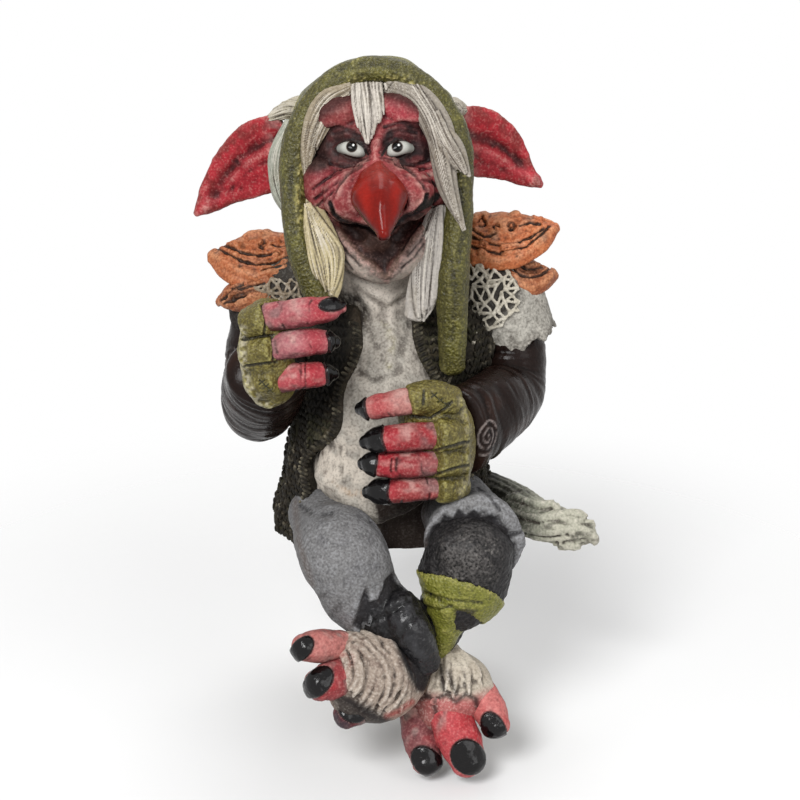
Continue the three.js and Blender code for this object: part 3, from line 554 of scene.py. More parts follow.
# Painted shade: a near-black patch beside the right hand's fingers, standing for the vest's dark edge there
# and for the shade next to the fingers.
tunic.fill(
    "171311", 1.0, 1.8,
    [
        (-24, 44), (-16, 41.6), (-12.8, 36.8), (-13.6, 29.6), (-16, 22.4), (-18.8, 14.4), (-21.6, 9.6),
        (-24.8, 11.2), (-24, 28),
    ],
    mask=ease(0.85 + 0.7 * tunic.grain(2.0, 10)),
)
tunic.rest_on_ledge()
tunic_cloth = painted(
    "combed_tunic", 0.78, "3b332d", "d3ccc0", (0.75, 0.45), blotch=0.3, pebble=700, bump=0.4, grit=0.42
)
tunic.finish(tunic_cloth, "grey_tunic", "body", depth=0.35)

# Vest. An open sleeveless vest of dark hand knitting, cast as a ribbed shell a few millimetres thick round
# the trunk. Its front edges are rolled and overcast with cord, and its stitches are raised one by one from
# the shell.
LEFT_VEST_EDGE = [(-10, 38), (28, 34), (62, 22), (78, 17), (98, 11), (140, 14)]
RIGHT_VEST_EDGE = [(-10, 37), (35, 31.5), (46, 26), (56, 21), (68, 17), (80, 12.5), (98, 10), (140, 14)]
VEST_TOP = 101.0
STITCH_PITCH = 3.7
STITCH_RISE = 3.2
STITCH_LEAN = 0.45
STITCH_MARGIN = 4.5
CORD_PITCH = 1.9
VEST_SHADE = [(-32.8, 40), (-22, 44), (-19.2, 28), (-22.4, 8), (-31.2, -8), (-40, -8)]
RIB_TURN = math.pi / 8
RIB_HEIGHT = 1.4
RIB_HALF_WIDTH = 3.4
FIRST_RIB = -2
LAST_RIB = 10
HEM_FLARE = 3.0
HEM_RISE = 22
VEST_ROUND = 230
VEST_COLUMNS = 170
VEST_ROWS = 74
EDGE_WIDTH = 3.2
EDGE_WAVE = 1.5
EDGE_WAVE_LENGTH = 5.0
EDGE_LAYER = 4.3
FAR_FRONT = -150
VEST_FRONT = -20
RING_POINTS = 500
SHELL_LAYER = 3.6
STITCH_LAYER = 3.9
CORD_LAYER = 4.8
trunk_rows = spline(TRUNK, 300)
belly_skin = BVHTree.FromPolygons(*joined([swell(BELLY, domes=(0.5, 0.6))]))


def on_vest(share, height, grow):
    """Points on the vest, by their share of the way round from the left edge to the right and their height.

    Where the belly would stand out of the vest, the vest is drawn forward over it.
    """
    middle, wide, deep = (np.interp(height, trunk_rows[:, 2], trunk_rows[:, c]) for c in (1, 3, 4))
    wide = wide + HEM_FLARE * ease((HEM_RISE - height) / HEM_RISE)
    gaps = [
        np.interp(height, *zip(*edge)) + EDGE_WAVE * np.sin(height / EDGE_WAVE_LENGTH)
        for edge in (LEFT_VEST_EDGE, RIGHT_VEST_EDGE)
    ]
    left, right = (
        np.arccos(np.clip(gap / (wide + EDGE_LAYER), 0, 0.99) ** (TRUNK_SQUARE / 2)) for gap in gaps
    )
    angle = -left + share * (math.pi + left + right)
    cosine, sine = squared(angle, TRUNK_SQUARE)
    turn = np.clip(np.round(angle / RIB_TURN), FIRST_RIB, LAST_RIB) * RIB_TURN
    rib_cosine, rib_sine = squared(turn, TRUNK_SQUARE)
    lift = np.broadcast_to(grow / 2, cosine.shape).ravel()
    from_rib = np.hypot((cosine - rib_cosine) * wide, (sine - rib_sine) * deep)
    grow = grow + RIB_HEIGHT * ease(1 - from_rib / RIB_HALF_WIDTH)
    points = np.stack([cosine * (wide + grow), middle + sine * (deep + grow), height + 0 * cosine], -1)
    for at, above in zip(points.reshape(-1, 3), lift):
        hit = belly_skin.ray_cast((at[0], FAR_FRONT, at[2]), (0, 1, 0))[0] if at[1] < VEST_FRONT else None
        if hit is not None:
            at[1] = min(at[1], hit.y - above)
    return points


GEOMETRY = ("Geometry", "Geometry")
BEAD_SIZES = [("Length", "Float"), ("Width", "Float"), ("Thickness", "Float")]
knit_stitches, given, made = node_group(
    "Geometry", "knit_stitches", [GEOMETRY, *BEAD_SIZES, ("Material", "Material")], [GEOMETRY]
)
bead = node(knit_stitches, "GeometryNodeMeshUVSphere", {"Radius": 1.0, "Segments": 6, "Rings": 5})
size = node(
    knit_stitches,
    "ShaderNodeCombineXYZ",
    {"X": given["Width"], "Y": given["Thickness"], "Z": given["Length"]},
)
stretched = node(knit_stitches, "GeometryNodeTransform", {"Geometry": bead, "Scale": size})
run = node(knit_stitches, "GeometryNodeInputNamedAttribute", {"Name": "run"}, data_type="FLOAT_VECTOR")
out = node(knit_stitches, "GeometryNodeInputNamedAttribute", {"Name": "out"}, data_type="FLOAT_VECTOR")
turn = node(
    knit_stitches,
    "FunctionNodeAxesToRotation",
    {"Primary Axis": run, "Secondary Axis": out},
    primary_axis="Z",
    secondary_axis="Y",
)
beads = node(
    knit_stitches,
    "GeometryNodeInstanceOnPoints",
    {"Points": given[0], "Instance": stretched, "Rotation": turn},
)
solid = node(knit_stitches, "GeometryNodeRealizeInstances", {"Geometry": beads})
dressed = node(
    knit_stitches, "GeometryNodeSetMaterial", {"Geometry": solid, "Material": given["Material"]}
)
knit_stitches.links.new(dressed.outputs[0], made[0])


def grown(points, edges, layers, tree, **inputs):
    """The form that a geometry tree makes of points and edges in mm. A layer is a value at each point."""
    mesh = bpy.data.meshes.new("places")
    mesh.from_pydata((points / 1000).tolist(), edges, [])
    for label, rows in layers.items():
        kind, field = ("FLOAT", "value") if rows.ndim == 1 else ("FLOAT_VECTOR", "vector")
        layer = mesh.attributes.new(label, kind, "POINT")
        layer.data.foreach_set(field, rows.astype(np.float32).ravel())
    obj = bpy.data.objects.new("places", mesh)
    scene.collection.objects.link(obj)
    modifier = obj.modifiers.new(tree.name, "NODES")
    modifier.node_group = tree
    for item in tree.interface.items_tree:
        if item.in_out == "INPUT" and item.name in inputs:
            modifier[item.identifier] = inputs[item.name]
    settled(obj)
    form = mesh_form(obj.data)
    bpy.data.objects.remove(obj)
    return form


def stitched(name, at, run, out, material, **sizes):
    """Raised stitches as one Casting: a bead at each place, along `run` and facing `out`. Sizes in mm."""
    sizes = {label: size / 1000 for label, size in sizes.items()}
    return Casting(
        name, [grown(at, [], {"run": run, "out": out}, knit_stitches, Material=material, **sizes)]
    )


dark_knit = painted("dark_knit", 0.75, "0b0a08", "7f7562", (0.9, 0.45), blotch=0.6, pebble=600, bump=0.4)
share, height = np.meshgrid(np.linspace(0, 1, VEST_COLUMNS), np.linspace(0.2, VEST_TOP, VEST_ROWS))
edge = np.exp(-((np.minimum(share, 1 - share) * VEST_ROUND / EDGE_WIDTH) ** 2))
shell = on_vest(share, height, SHELL_LAYER + 1.6 * edge)
rim = on_vest(share, height, 0.5)
rows, columns = share.shape
i, j = np.meshgrid(np.arange(rows - 1), np.arange(columns - 1), indexing="ij")
quads = np.stack(
    [i * columns + j, i * columns + j + 1, (i + 1) * columns + j + 1, (i + 1) * columns + j], -1
)
loop = [(0, c) for c in range(columns)] + [(r, columns - 1) for r in range(1, rows)]
loop += [(rows - 1, c) for c in range(columns - 2, -1, -1)] + [(r, 0) for r in range(rows - 2, 0, -1)]
outer = [r * columns + c for r, c in loop]
inner = [rows * columns + k for k in range(len(loop))]
turned_in = [list(corners) for corners in zip(outer, inner, inner[1:] + inner[:1], outer[1:] + outer[:1])]
vest_points = shell.reshape(-1, 3).tolist() + [rim[r, c].tolist() for r, c in loop]
vest = Casting("vest_shell", [(vest_points, quads.reshape(-1, 4).tolist() + turned_in)], colour="25211b")
vest.push(0.35 * vest.grain(5, 11) * (vest.co[:, 2] > 0.6))
vest.cloud("3a3a26", 9, 12, 0.7)
vest.cloud("4a3b2e", 6, 13, 0.5)
vest.fill("100d0b", 0.9, 6, VEST_SHADE)
vest.finish(dark_knit, "dark_knit", "vest")

places, runs, outs = [], [], []
even_shares = np.linspace(0, 1, RING_POINTS)
for row in np.arange(1.6, VEST_TOP - 1, STITCH_RISE):
    ring = on_vest(even_shares, np.full(RING_POINTS, row), STITCH_LAYER)
    length = np.concatenate([[0], np.cumsum(np.linalg.norm(np.diff(ring, axis=0), axis=1))])
    spots = np.arange(STITCH_MARGIN, length[-1] - STITCH_MARGIN, STITCH_PITCH / 2)
    share = np.interp(spots, length, even_shares)
    at = on_vest(share, np.full(len(share), row) + 0.25 * np.sin(spots), STITCH_LAYER)
    ahead = on_vest(share + 0.002, np.full(len(share), row), STITCH_LAYER)
    round_about = unit(ahead - on_vest(share, np.full(len(share), row), STITCH_LAYER))
    lean = np.where(np.arange(len(share)) % 2, STITCH_LEAN, -STITCH_LEAN)[:, None]
    places.append(at)
    runs.append(unit(np.array([0, 0, 1.0]) + lean * round_about))
    outs.append(unit(np.cross(round_about, [0, 0, 1.0])))
places, runs, outs = (np.concatenate(rows) for rows in (places, runs, outs))
kept = grain(places, 7, 14) > -0.55
loops = stitched(
    "vest_stitches", places[kept], runs[kept], outs[kept], dark_knit, Length=2.0, Width=0.85, Thickness=0.8
)
loops.paint("272219")
loops.cloud("45452c", 8, 15, 0.8)
loops.paint("8a8270", ease(loops.grain((2.4, 2.4, 2.0), 16) * 2.2 - 0.9) * 0.8)
loops.fill("14110e", 0.9, 6, VEST_SHADE)
loops.finish(dark_knit, "dark_knit")

height = np.arange(2, VEST_TOP - 4, CORD_PITCH)
cords = [
    (on_vest(np.full(len(height), share), height, CORD_LAYER), sign)
    for share, sign in ((0.004, 1), (0.996, -1))
]
at = np.concatenate([points for points, sign in cords])
run = unit(np.concatenate([np.tile([sign * 0.9, 0.1, 0.5], (len(points), 1)) for points, sign in cords]))
cord_edge = stitched(
    "vest_edge_cord", at, run, np.tile([0, -1.0, 0.1], (len(at), 1)), dark_knit, Length=2.3, Width=0.95,
    Thickness=0.95,
)
cord_edge.paint("3a352c")
cord_edge.paint("8b8470", ease(cord_edge.grain(3, 17) * 2) * 0.7)
cord_edge.finish(dark_knit, "dark_knit")

# Sleeves. Two short ragged sleeve caps of the tunic, cast separately and glued over the shoulders and the
# arms. The cloth is pale and gritty, and its hem is torn into scallops.
LEFT_SLEEVE = [(38, -2, 107, 13), (48, -5, 96, 18), (56, -7, 80, 17)]
RIGHT_SLEEVE = [(-38, -2, 107, 13), (-48, -5, 96, 17), (-47, -6, 86, 16)]
TOOTH = 4.0


def tear_hem(piece, hem, run, reach, depth, seed):
    """Pulls the skin near a hem along `run` into torn points and notches."""
    run = unit(np.array(run, float))
    before = (piece.co - np.array(hem)) @ run
    across = piece.co - np.outer(before, run)
    torn = grain(across, TOOTH, seed) + 0.6 * grain(across, TOOTH * 0.45, seed + 1)
    piece.move(np.outer(ease((before + reach) / reach) * depth * torn, run))
    return ease((before + reach) / reach)


grit_cloth = painted(
    "gritty_sleeve", 0.8, "4a443d", "cfc9be", (0.7, 0.5), blotch=0.35, pebble=800, pits=0.7, bump=0.5
)
for side, stops, run in (("left", LEFT_SLEEVE, (8, -3, -16)), ("right", RIGHT_SLEEVE, (1, -1, -10))):
    sleeve = Casting(side + "_sleeve", [swell(stops, domes=(0.5, 0.05))], 0.8, colour="aca89f")
    sleeve.push(0.4 * sleeve.grain(2.2, 21) + 1.0 * sleeve.grain((9, 9, 16), 22))
    at_hem = tear_hem(sleeve, stops[-1][:3], run, 9, 3.0, 23)
    sleeve.push(0.9 * at_hem * sleeve.grain((4, 4, 30), 24))
    sleeve.cloud("86827b", 6, 25, 0.6)
    sleeve.paint("3c352f", 0.7 * ease(at_hem * 3 - 2.2))
    # Painted shade: the sleeve is painted near-black in the holes of the lace and under the right fungi.
    sleeve.fill(
        "14100e", 0.97, 3,
        [
            (25.6, 60), (35.2, 59.2), (43.2, 52.8), (48.8, 44), (47.2, 37.6), (40, 31.2), (33.6, 26.4),
            (28, 21.6), (25.6, 32),
        ],
    )
    sleeve.fill(
        "1d1714", 0.95, 3,
        [
            (-62.4, 43.2), (-55.2, 49.6), (-49.6, 58.4), (-43.2, 60.8), (-37.6, 56.8), (-35.2, 33.6),
            (-45.6, 32), (-55.2, 34.4),
        ],
    )
    sleeve.fill("191311", 1.0, 3, [(-78, 40.8), (-61.6, 41.6), (-57.6, 32), (-57.6, 10), (-78, 10)])
    sleeve.finish(grit_cloth, "grey_tunic", side + "_sleeve", depth=0.4)

# Trouser legs. Two rough grey trouser legs, each cast with the thigh inside it and glued to the front of
# the body. The left one is torn off at the knee, and the right one hangs to mid shin with a notched hem.
LEFT_TROUSER = [(28, -30, 16, 15), (34, -55, 15, 17, 16), (36, -76, 18, 20.2, 18.8)]
RIGHT_TROUSER = [
    (-26, -30, 12, 15, 12.5), (-21, -55, 12, 16.6, 13), (-17.5, -80, 15.5, 17.6, 16.5),
    (-10.5, -85, 1, 16.2, 15), (-4.5, -86, -8, 15, 13),
]
rough_trouser = painted(
    "rough_trouser", 0.7, "232224", "a2a3a6", (0.75, 0.4), blotch=0.25, pebble=650, pits=0.7, bump=0.6,
    grit=0.48,
)
trousers = {}
for side, stops, domes in (("left", LEFT_TROUSER, (0, 0.25)), ("right", RIGHT_TROUSER, (0, 0.2))):
    leg = Casting(side + "_trouser_leg", [swell(stops, domes=domes)], 0.8, colour="767575")
    leg.push(0.16 * leg.grain(1.8, 31) + 0.8 * leg.grain(8, 32))
    leg.cloud("626163", 5, 33, 0.6)
    leg.cloud("8b8b8c", 7, 34, 0.4)
    trousers[side] = leg
leg = trousers["left"]
knee_tears = [
    [(31.2, -35.2), (36, -38.4), (40, -44)],
    [(20.8, -34.4), (19.2, -40)],
    [(40, -58), (44.8, -54), (48.8, -52.8)],
]
knee_hem = leg.line(
    [(8, -59.2), (11.2, -49.6), (19.2, -44.8), (28, -44), (36.8, -44.8), (43.2, -49.6), (48.8, -58)], 5
)
leg.push(
    -1.4 * leg.patch(
        [(9.6, -64), (11.2, -52), (18.4, -46.4), (28.8, -45.6), (39.2, -46.8), (45.6, -52.8), (48, -64)],
        2.5,
    )
    + 1.3 * knee_hem * leg.grain(3, 35)
)
leg.push(-0.9 * leg.lines(1.4, *knee_tears, [(40.8, -60.8), (45.6, -58)]))
# Painted shade: the end of the trouser leg below the torn hem is painted near-black, as the shade inside
# the opening round the shin.
leg.fill(
    "1d1b1c", 1.0, 0.7,
    [
        (7.2, -70), (9.6, -56), (12.8, -50), (16, -48.8), (17.6, -45.6), (20.8, -47.2), (23.2, -43.2),
        (26.4, -46), (29.6, -43.2), (32.8, -46.4), (36.8, -45.2), (40, -48.8), (43.2, -51.2), (44.8, -58),
        (46.4, -70),
    ],
)
leg.stroke("2c2a2c", 0.8, 1.1, *knee_tears)
leg.stroke("4c3b33", 0.5, 3, [(11.2, -64), (8.4, -54), (9.6, -42), (16, -35.2)])
leg.finish(rough_trouser, "grey_trouser", "left_trouser_leg", depth=0.4)
leg = trousers["right"]
at_hem = tear_hem(leg, (-7, -86, -8), (7, -1, -9), 9, 3.2, 36)
notches = leg.patch(
    [
        (-19.2, -90.4), (-16.8, -84), (-15.2, -79.2), (-13.6, -76), (-12, -80.8), (-8.8, -80),
        (-6.4, -75.2), (-5.6, -72), (-2.4, -68.8), (5.6, -74.4), (8, -96), (-8, -98.4),
    ],
    0.8,
)
leg.push(-1.8 * notches)
leg.push(
    -0.9 * leg.lines(
        3.0, [(-40, -42), (-35.2, -44.8), (-28, -44.8)], [(-11.2, -48), (-6.4, -52.8), (-3.2, -59.2)]
    )
)
leg.paint("1f1d1e", ease(at_hem * 2.6 - 2.2) * leg.facing() + notches)
leg.stroke(
    "3a3433", 0.6, 2.2,
    [(-19.2, -90.4), (-16.8, -84), (-15.2, -79.2), (-13.6, -75.2)],
    [(-8.8, -80), (-6.4, -74.4), (-3.2, -68.8)],
    [(-28, -86.4), (-24, -82.4)],
    [(-33.6, -80), (-29.6, -77.6)],
)
# Painted shade: the trouser leg is darker where it turns away from the viewpoint.
leg.paint("4a4643", 0.55 * ease(0.4 - leg.no @ TOWARD))
leg.stroke("5a4a40", 0.5, 2.5, [(-42, -40), (-40.8, -56), (-35.2, -74)])
leg.finish(rough_trouser, "grey_trouser", "right_trouser_leg", depth=0.4)

# Leggings. Near-black leggings over both shins, stippled and dry-brushed with grey, cast with the shins and
# glued into the trouser legs. A green strap of cloth winds round the left shin, and its end hangs down in
# front.
LEFT_SHIN = [
    (34, -78, 15, 17.5, 16.5), (31.5, -79, 2, 18.5, 15), (28.4, -79, -6, 15, 14),
    (24.2, -77.5, -13, 11.2, 12), (20.8, -75, -24, 9, 11), (19.5, -72, -32, 7.5, 10),
]
RIGHT_SHIN = [(-12, -83, 2, 13), (-2, -85, -8, 13), (6, -86, -16, 13.5), (10, -86, -20, 11.5)]
black_legging = painted(
    "black_legging", 0.5, "080808", "6d6a68", (0.7, 0.55), blotch=0.5, pebble=620, pits=0.7, bump=0.6,
    grit=1.2,
)
shin = Casting("left_shin", [swell(LEFT_SHIN)], 0.7, colour="211f20")
shin.push(0.4 * shin.grain(1.7, 41) + 0.5 * shin.grain(6, 42))
middle = shin.patch(
    [(16, -68.8), (18.4, -56.8), (25.6, -52), (35.2, -52.8), (40, -60), (37.6, -72), (24.8, -74.4)], 5
)
shin.paint("5f5b58", 0.5 * middle * ease(0.7 + 0.6 * shin.grain(4, 43)))
shin.paint("8d8882", 0.5 * middle * ease(shin.grain(1.2, 48) * 3 - 1.2))
shin.finish(black_legging, "black_legging", "left_shin")
RIGHT_ANKLE = [(5.6, -92, -3.5, 7.5), (11.2, -96, -13.8, 8), (16.4, -94, -27.2, 6)]
shin = Casting("right_shin", [swell(RIGHT_SHIN, side=(0, 1, 0)), swell(RIGHT_ANKLE)], 0.65, colour="1c1b1d")
shin.push(
    0.3 * shin.grain(2, 44)
    - 0.8 * shin.lines(
        2, [(-11.2, -88.8), (-3.2, -84.8), (3.2, -80)], [(-0.8, -96), (3.2, -90), (8, -84.8)]
    )
)
shin.gloss = (
    0.75 * shin.patch([(-4.8, -80), (8, -79.2), (15.2, -90), (10, -108.8), (0.8, -102), (-6, -88.8)], 5)
)
shin.paint(
    "4a4a4e", 0.6 * ease(shin.grain(3, 45)) * shin.patch([(-2, -80), (12, -80), (10, -104), (0, -96)], 4)
)
shin.finish(black_legging, "black_legging", "right_shin")


def band(stops, side, middle, half, tilt, phase, grow, thick):
    """A flat band wound once round a swelling form, `middle` stops along it and tilted by `tilt` stops."""
    angle = np.linspace(0, 2 * math.pi, 120, endpoint=False)
    level = middle - tilt * np.cos(angle - phase)
    rings = []
    outside = [(share, grow + thick * (1 - (abs(share) ** 6))) for share in np.linspace(-1, 1, 11)]
    for share, lift in outside + [(0.9, grow), (-0.9, grow)]:
        here = level + share * half
        rows = spline(stops, here)
        run = unit(spline(stops, here + 0.02)[:, :3] - spline(stops, here - 0.02)[:, :3])
        across, up = directions(run, side)
        wide, deep = (rows[:, 3:] + lift).T
        rings.append(
            rows[:, :3] + across * (np.cos(angle) * wide)[:, None] + up * (np.sin(angle) * deep)[:, None]
        )
    count, around = len(rings), len(angle)
    r, a = np.meshgrid(np.arange(count), np.arange(around), indexing="ij")
    here, there, after = r * around, (r + 1) % count * around, (a + 1) % around
    faces = np.stack([here + after, there + after, there + a, here + a], -1)
    return np.concatenate(rings).tolist(), faces.reshape(-1, 4).tolist()


olive_cloth = painted(
    "olive_cloth", 0.4, "171408", "b5ad68", (0.85, 0.5), blotch=0.3, pebble=850, pits=0.8, bump=0.9,
    grit=0.4, shine=0.32,
)
STRAP_END = [
    (25.5, -79, -3, 11, 15.4), (25, -77.5, -13, 9, 13.5), (22.5, -75, -24, 6, 12.4),
    (20.5, -73, -30, 3.0, 11.2),
]
strap = Casting(
    "leg_strap",
    [
        band(LEFT_SHIN, (1, 0, 0), 1.8, 0.58, 0.7, 1.85, 0.4, 1.2),
        swell(STRAP_END),
    ],
    0.6,
    soften=2,
    colour="6f7028",
)
strap.push(
    0.3 * strap.grain(3, 46)
    - 0.5 * strap.lines(
        1.2, [(8, -76.8), (20, -80), (32.8, -81.2)], [(9.6, -82.4), (15.2, -84), (20.8, -82.4)]
    )
)
strap.cloud("8a8a3a", 5, 47, 0.6)
strap.paint(
    "1f1c12",
    0.9 * strap.patch([(21.6, -84.4), (26.4, -83.2), (31.2, -84), (27.2, -88.8), (23.2, -90.8)], 1.0)
    + 0.3 * strap.lines(1.2, [(8.8, -81.6), (14.4, -83.2), (20, -82.4)]),
)
strap.finish(olive_cloth, "green_cloth", "leg_strap")

# Feet. Two bare feet clothed in thick pale fur, cast with the ankles and glued to the shins on steel pins.
# The fur was laid on as separate rolls of clay, so its strands are real ridges. The toes are set in along
# the front.
RIGHT_FOOT = [(8, -87, -25, 14.5, 12.5), (-1, -94, -33, 19, 14), (-13, -99, -31, 17, 12)]
LEFT_FOOT = [(21, -75, -39, 12.5, 11.5), (26, -81, -45, 17, 13), (29, -87, -49, 17, 11)]
STRAND_STEPS = 18
FRONT_DEPTH = 60

strand_run, given, made = node_group(
    "Geometry", "strand_run", [GEOMETRY, ("Sides", "Int"), ("Material", "Material")], [GEOMETRY]
)
thick = node(strand_run, "GeometryNodeInputNamedAttribute", {"Name": "thick"}, data_type="FLOAT")
spine = node(strand_run, "GeometryNodeMeshToCurve", {"Mesh": given[0]})
circle = node(strand_run, "GeometryNodeCurvePrimitiveCircle", {"Resolution": given["Sides"], "Radius": 1.0})
rolled = node(
    strand_run,
    "GeometryNodeCurveToMesh",
    {"Curve": spine, "Profile Curve": circle, "Scale": thick, "Fill Caps": True},
)
solid = node(strand_run, "GeometryNodeRealizeInstances", {"Geometry": rolled})
dressed = node(
    strand_run, "GeometryNodeSetMaterial", {"Geometry": solid, "Material": given["Material"]}
)
strand_run.links.new(dressed.outputs[0], made[0])


def strands(runs, material, sides=8):
    """Rolls of clay as one form. A run is its points and its radii, in mm."""
    starts = np.cumsum([0] + [len(at) for at, radius in runs])
    edges = [(i, i + 1) for a, b in zip(starts[:-1], starts[1:]) for i in range(a, b - 1)]
    points, thick = (np.concatenate(rows) for rows in zip(*runs))
    return grown(points, edges, {"thick": thick / 1000}, strand_run, Sides=sides, Material=material)


class Ground:
    """Forms that strands are laid on: carries paths drawn in the portrait back onto their skin."""

    def __init__(self, forms):
        self.skin = BVHTree.FromPolygons(*joined(forms))
        self.eye = Vector(VIEWPOINT_TARGET + TOWARD * VIEWPOINT_DISTANCE)

    def under(self, path, lift):
        """The places `lift` mm above the skin that a path in the portrait covers or comes nearest."""
        found = []
        for across, up in path:
            aim = Vector(unit(np.array([across, 0, 0]) + UPWARD * up - TOWARD * PORTRAIT_SCALE))
            at, normal, face, depth = self.skin.ray_cast(self.eye, aim)
            if at is None:
                at, normal, face, depth = self.skin.find_nearest(
                    self.eye + aim * (VIEWPOINT_DISTANCE - FRONT_DEPTH)
                )
            found.append(at + normal * lift)
        return np.array(found)

    def lock(self, edge_a, edge_b, count, thick, seed, lift=0.2, ragged=0.2, blunt=0.2):
        """Strands side by side between two edges drawn in the portrait, tapering towards uneven ends."""
        rng = np.random.default_rng(seed)
        a, b = spline(edge_a, STRAND_STEPS), spline(edge_b, STRAND_STEPS)
        runs = []
        for k in range(count):
            share = (k + 0.5 + rng.uniform(-0.25, 0.25)) / count
            sway = rng.uniform(-0.5, 0.5) / count * np.sin(np.linspace(0, rng.uniform(3, 7), STRAND_STEPS))
            lost = int(rng.uniform(0, ragged) * STRAND_STEPS)
            path = (a + (b - a) * (share + sway)[:, None])[: STRAND_STEPS - lost]
            at = self.under(path, lift + rng.uniform(-0.3, 0.3) * thick)
            gone = np.linspace(0, 1, len(at))
            runs.append((at, thick * rng.uniform(0.8, 1.2) * (blunt + (1 - blunt) * np.sqrt(1 - gone**3))))
        return runs


pale_fur = painted(
    "pale_fur", 0.6, "241a17", "ddd4c8", (1.0, 0.5), blotch=0.3, pebble=800, bump=0.35, grit=0.35
)
right_base = [swell(RIGHT_FOOT, side=(-0.51, -0.11, 0.85))]
ground = Ground(right_base)
fur = ground.lock(
    [(-22.8, -95.2), (-15.2, -100.8), (-13.6, -111.2), (-20, -120.8)],
    [(-11.2, -90.8), (-3.2, -99.2), (1.6, -110.4), (-2.4, -128.8)],
    10, 1.6, 1, lift=0.6, ragged=0.2, blunt=0.4,
)
fur += ground.lock(
    [(-28, -98), (-23.2, -102), (-21.6, -110.4), (-24.8, -116)],
    [(-19.2, -93.6), (-12.8, -100.8), (-11.2, -112.8), (-16.8, -122.4)],
    6, 1.2, 2, lift=0.8, blunt=0.35,
)
fur += ground.lock(
    [(-26.4, -92), (-20, -90.4), (-11.2, -89.6)],
    [(-24, -96), (-16, -94.4), (-3.2, -96)],
    5, 1.0, 3, lift=0.6,
)
fur += ground.lock(
    [(-11.2, -92), (-3.2, -100), (0.8, -109.6), (-0.8, -125.6)],
    [(-8, -91.2), (-0.8, -99.2), (4.8, -110.4), (6.4, -121.6)],
    5, 1.3, 4, lift=0.5, blunt=0.35,
)
fur += ground.lock(
    [(-19.2, -98.4), (-11.2, -107.2), (-11.2, -117.6), (-17.6, -124.8)],
    [(-8, -96), (1.6, -105.6), (2.4, -116), (-6.4, -126.4)],
    6, 1.3, 7, lift=1.5, ragged=0.4, blunt=0.3,
)
foot = Casting("right_foot", right_base + [strands(fur, pale_fur)], 0.5, soften=2, colour="9c8d80")
foot.push(0.2 * foot.grain((2, 2, 2), 51))
foot.cloud("c4b9ab", 4, 52, 0.7)
foot.cloud("6f5a50", 3, 53, 0.6)
foot.fill(
    "a03c3a", 0.85, 4,
    [(-31.2, -96), (-22.4, -96), (-20, -103.2), (-23.2, -116), (-32.8, -122.4), (-35.2, -104)],
    mask=ease(0.6 + foot.grain(4, 54)),
)
# Painted shade: dark lines along the foot's lower edge by the toes and along its join with the ankle.
foot.stroke(
    "2a2320", 0.8, 2.5,
    [(-28, -116), (-20, -120.8), (-11.2, -126.4), (-0.8, -129.6)],
    [(-6.4, -88.8), (3.2, -96), (9.6, -102)],
)
foot.stroke("a83a36", 0.7, 2.2, [(-5.6, -126.4), (-0.8, -124.8), (4.8, -120.8)])
# Painted shade: the underside of the foot below the toes is painted near-black.
foot.fill(
    "1a1516", 0.9, 2.5,
    [
        (-26.4, -119.2), (-20, -117.6), (-11.2, -122.4), (-4.8, -127.2), (-4.8, -132), (-20, -132),
        (-25.6, -126.4),
    ],
)
# Painted shade: the heel side of the foot behind the ankle is painted near-black.
foot.fill(
    "151315", 1.0, 1.5,
    [(-8, -88.8), (-2.4, -97.6), (1.6, -107.2), (6.4, -116.8), (16, -118.4), (19.2, -96), (4.8, -84)],
)
foot.finish(pale_fur, "pale_fur", "right_foot", depth=0.4)

left_base = [swell(LEFT_FOOT, side=(0.89, 0, 0.46))]
ground = Ground(left_base)
fur = ground.lock(
    [(14.4, -102), (12, -110.4), (9.6, -119.2)],
    [(19.6, -98.4), (28.8, -105.6), (36, -115.2)],
    10, 1.5, 5, lift=0.3, ragged=0.3,
)
fur += ground.lock(
    [(17.6, -100), (18.4, -108.8), (16, -120)],
    [(24.8, -101.6), (32, -108), (34.4, -117.6)],
    6, 1.2, 6, lift=1.1, ragged=0.35,
)
foot = Casting("left_foot", left_base + [strands(fur, pale_fur)], 0.5, soften=2, colour="b3a898")
foot.cloud("d5ccbc", 4, 55, 0.6)
foot.fill(
    "a5474a", 0.85, 3,
    [(1.6, -120), (8, -117.6), (28, -119.2), (36.8, -116), (42, -120), (40, -136), (2, -144)],
)
# Painted shade: dark lines between the toes and under the edge of the fur that lies over them.
foot.stroke(
    "1d1214", 0.85, 2.2,
    [(13.6, -121.6), (15.2, -128.8), (16, -138)],
    [(30.4, -120.8), (32, -126.4), (33.6, -132)],
    [(2, -124.8), (6.4, -120), (11.2, -118.4)],
)
foot.stroke(
    "231d1b", 0.85, 1.8,
    [(9.6, -117.6), (13.6, -120), (18.4, -117.6), (22.4, -120.8), (26.4, -117.6), (30.4, -119.6)],
    [(19.2, -108.8), (22.4, -117.6)],
    [(16, -105.6), (17.6, -116)],
)
foot.fill("5a3f39", 0.5, 5, [(0, -116), (9.6, -112), (12.8, -128), (4, -144)])
foot.finish(pale_fur, "pale_fur", "left_foot", depth=0.4)

# Toes and fingers. Each is a separate red casting, pushed into the foot or the glove while its glue was
# wet. The knuckles are creased, and the claws are part of the casting, painted black and lacquered.
red_skin = painted(
    "red_skin", 0.5, "190d0e", "d9aca2", (0.9, 0.4), blotch=0.4, pebble=900, bump=0.35, grit=0.27,
    shine=0.14,
)


def oval(centre, wide, high, turn=0.0):
    """The outline of an oval in the portrait, turned by so many degrees."""
    a, t = np.linspace(0, 2 * math.pi, 24, endpoint=False), math.radians(turn)
    x, y = wide * np.cos(a), high * np.sin(a)
    across = centre[0] + x * math.cos(t) - y * math.sin(t)
    up = centre[1] + x * math.sin(t) + y * math.cos(t)
    return list(zip(across.tolist(), up.tolist()))


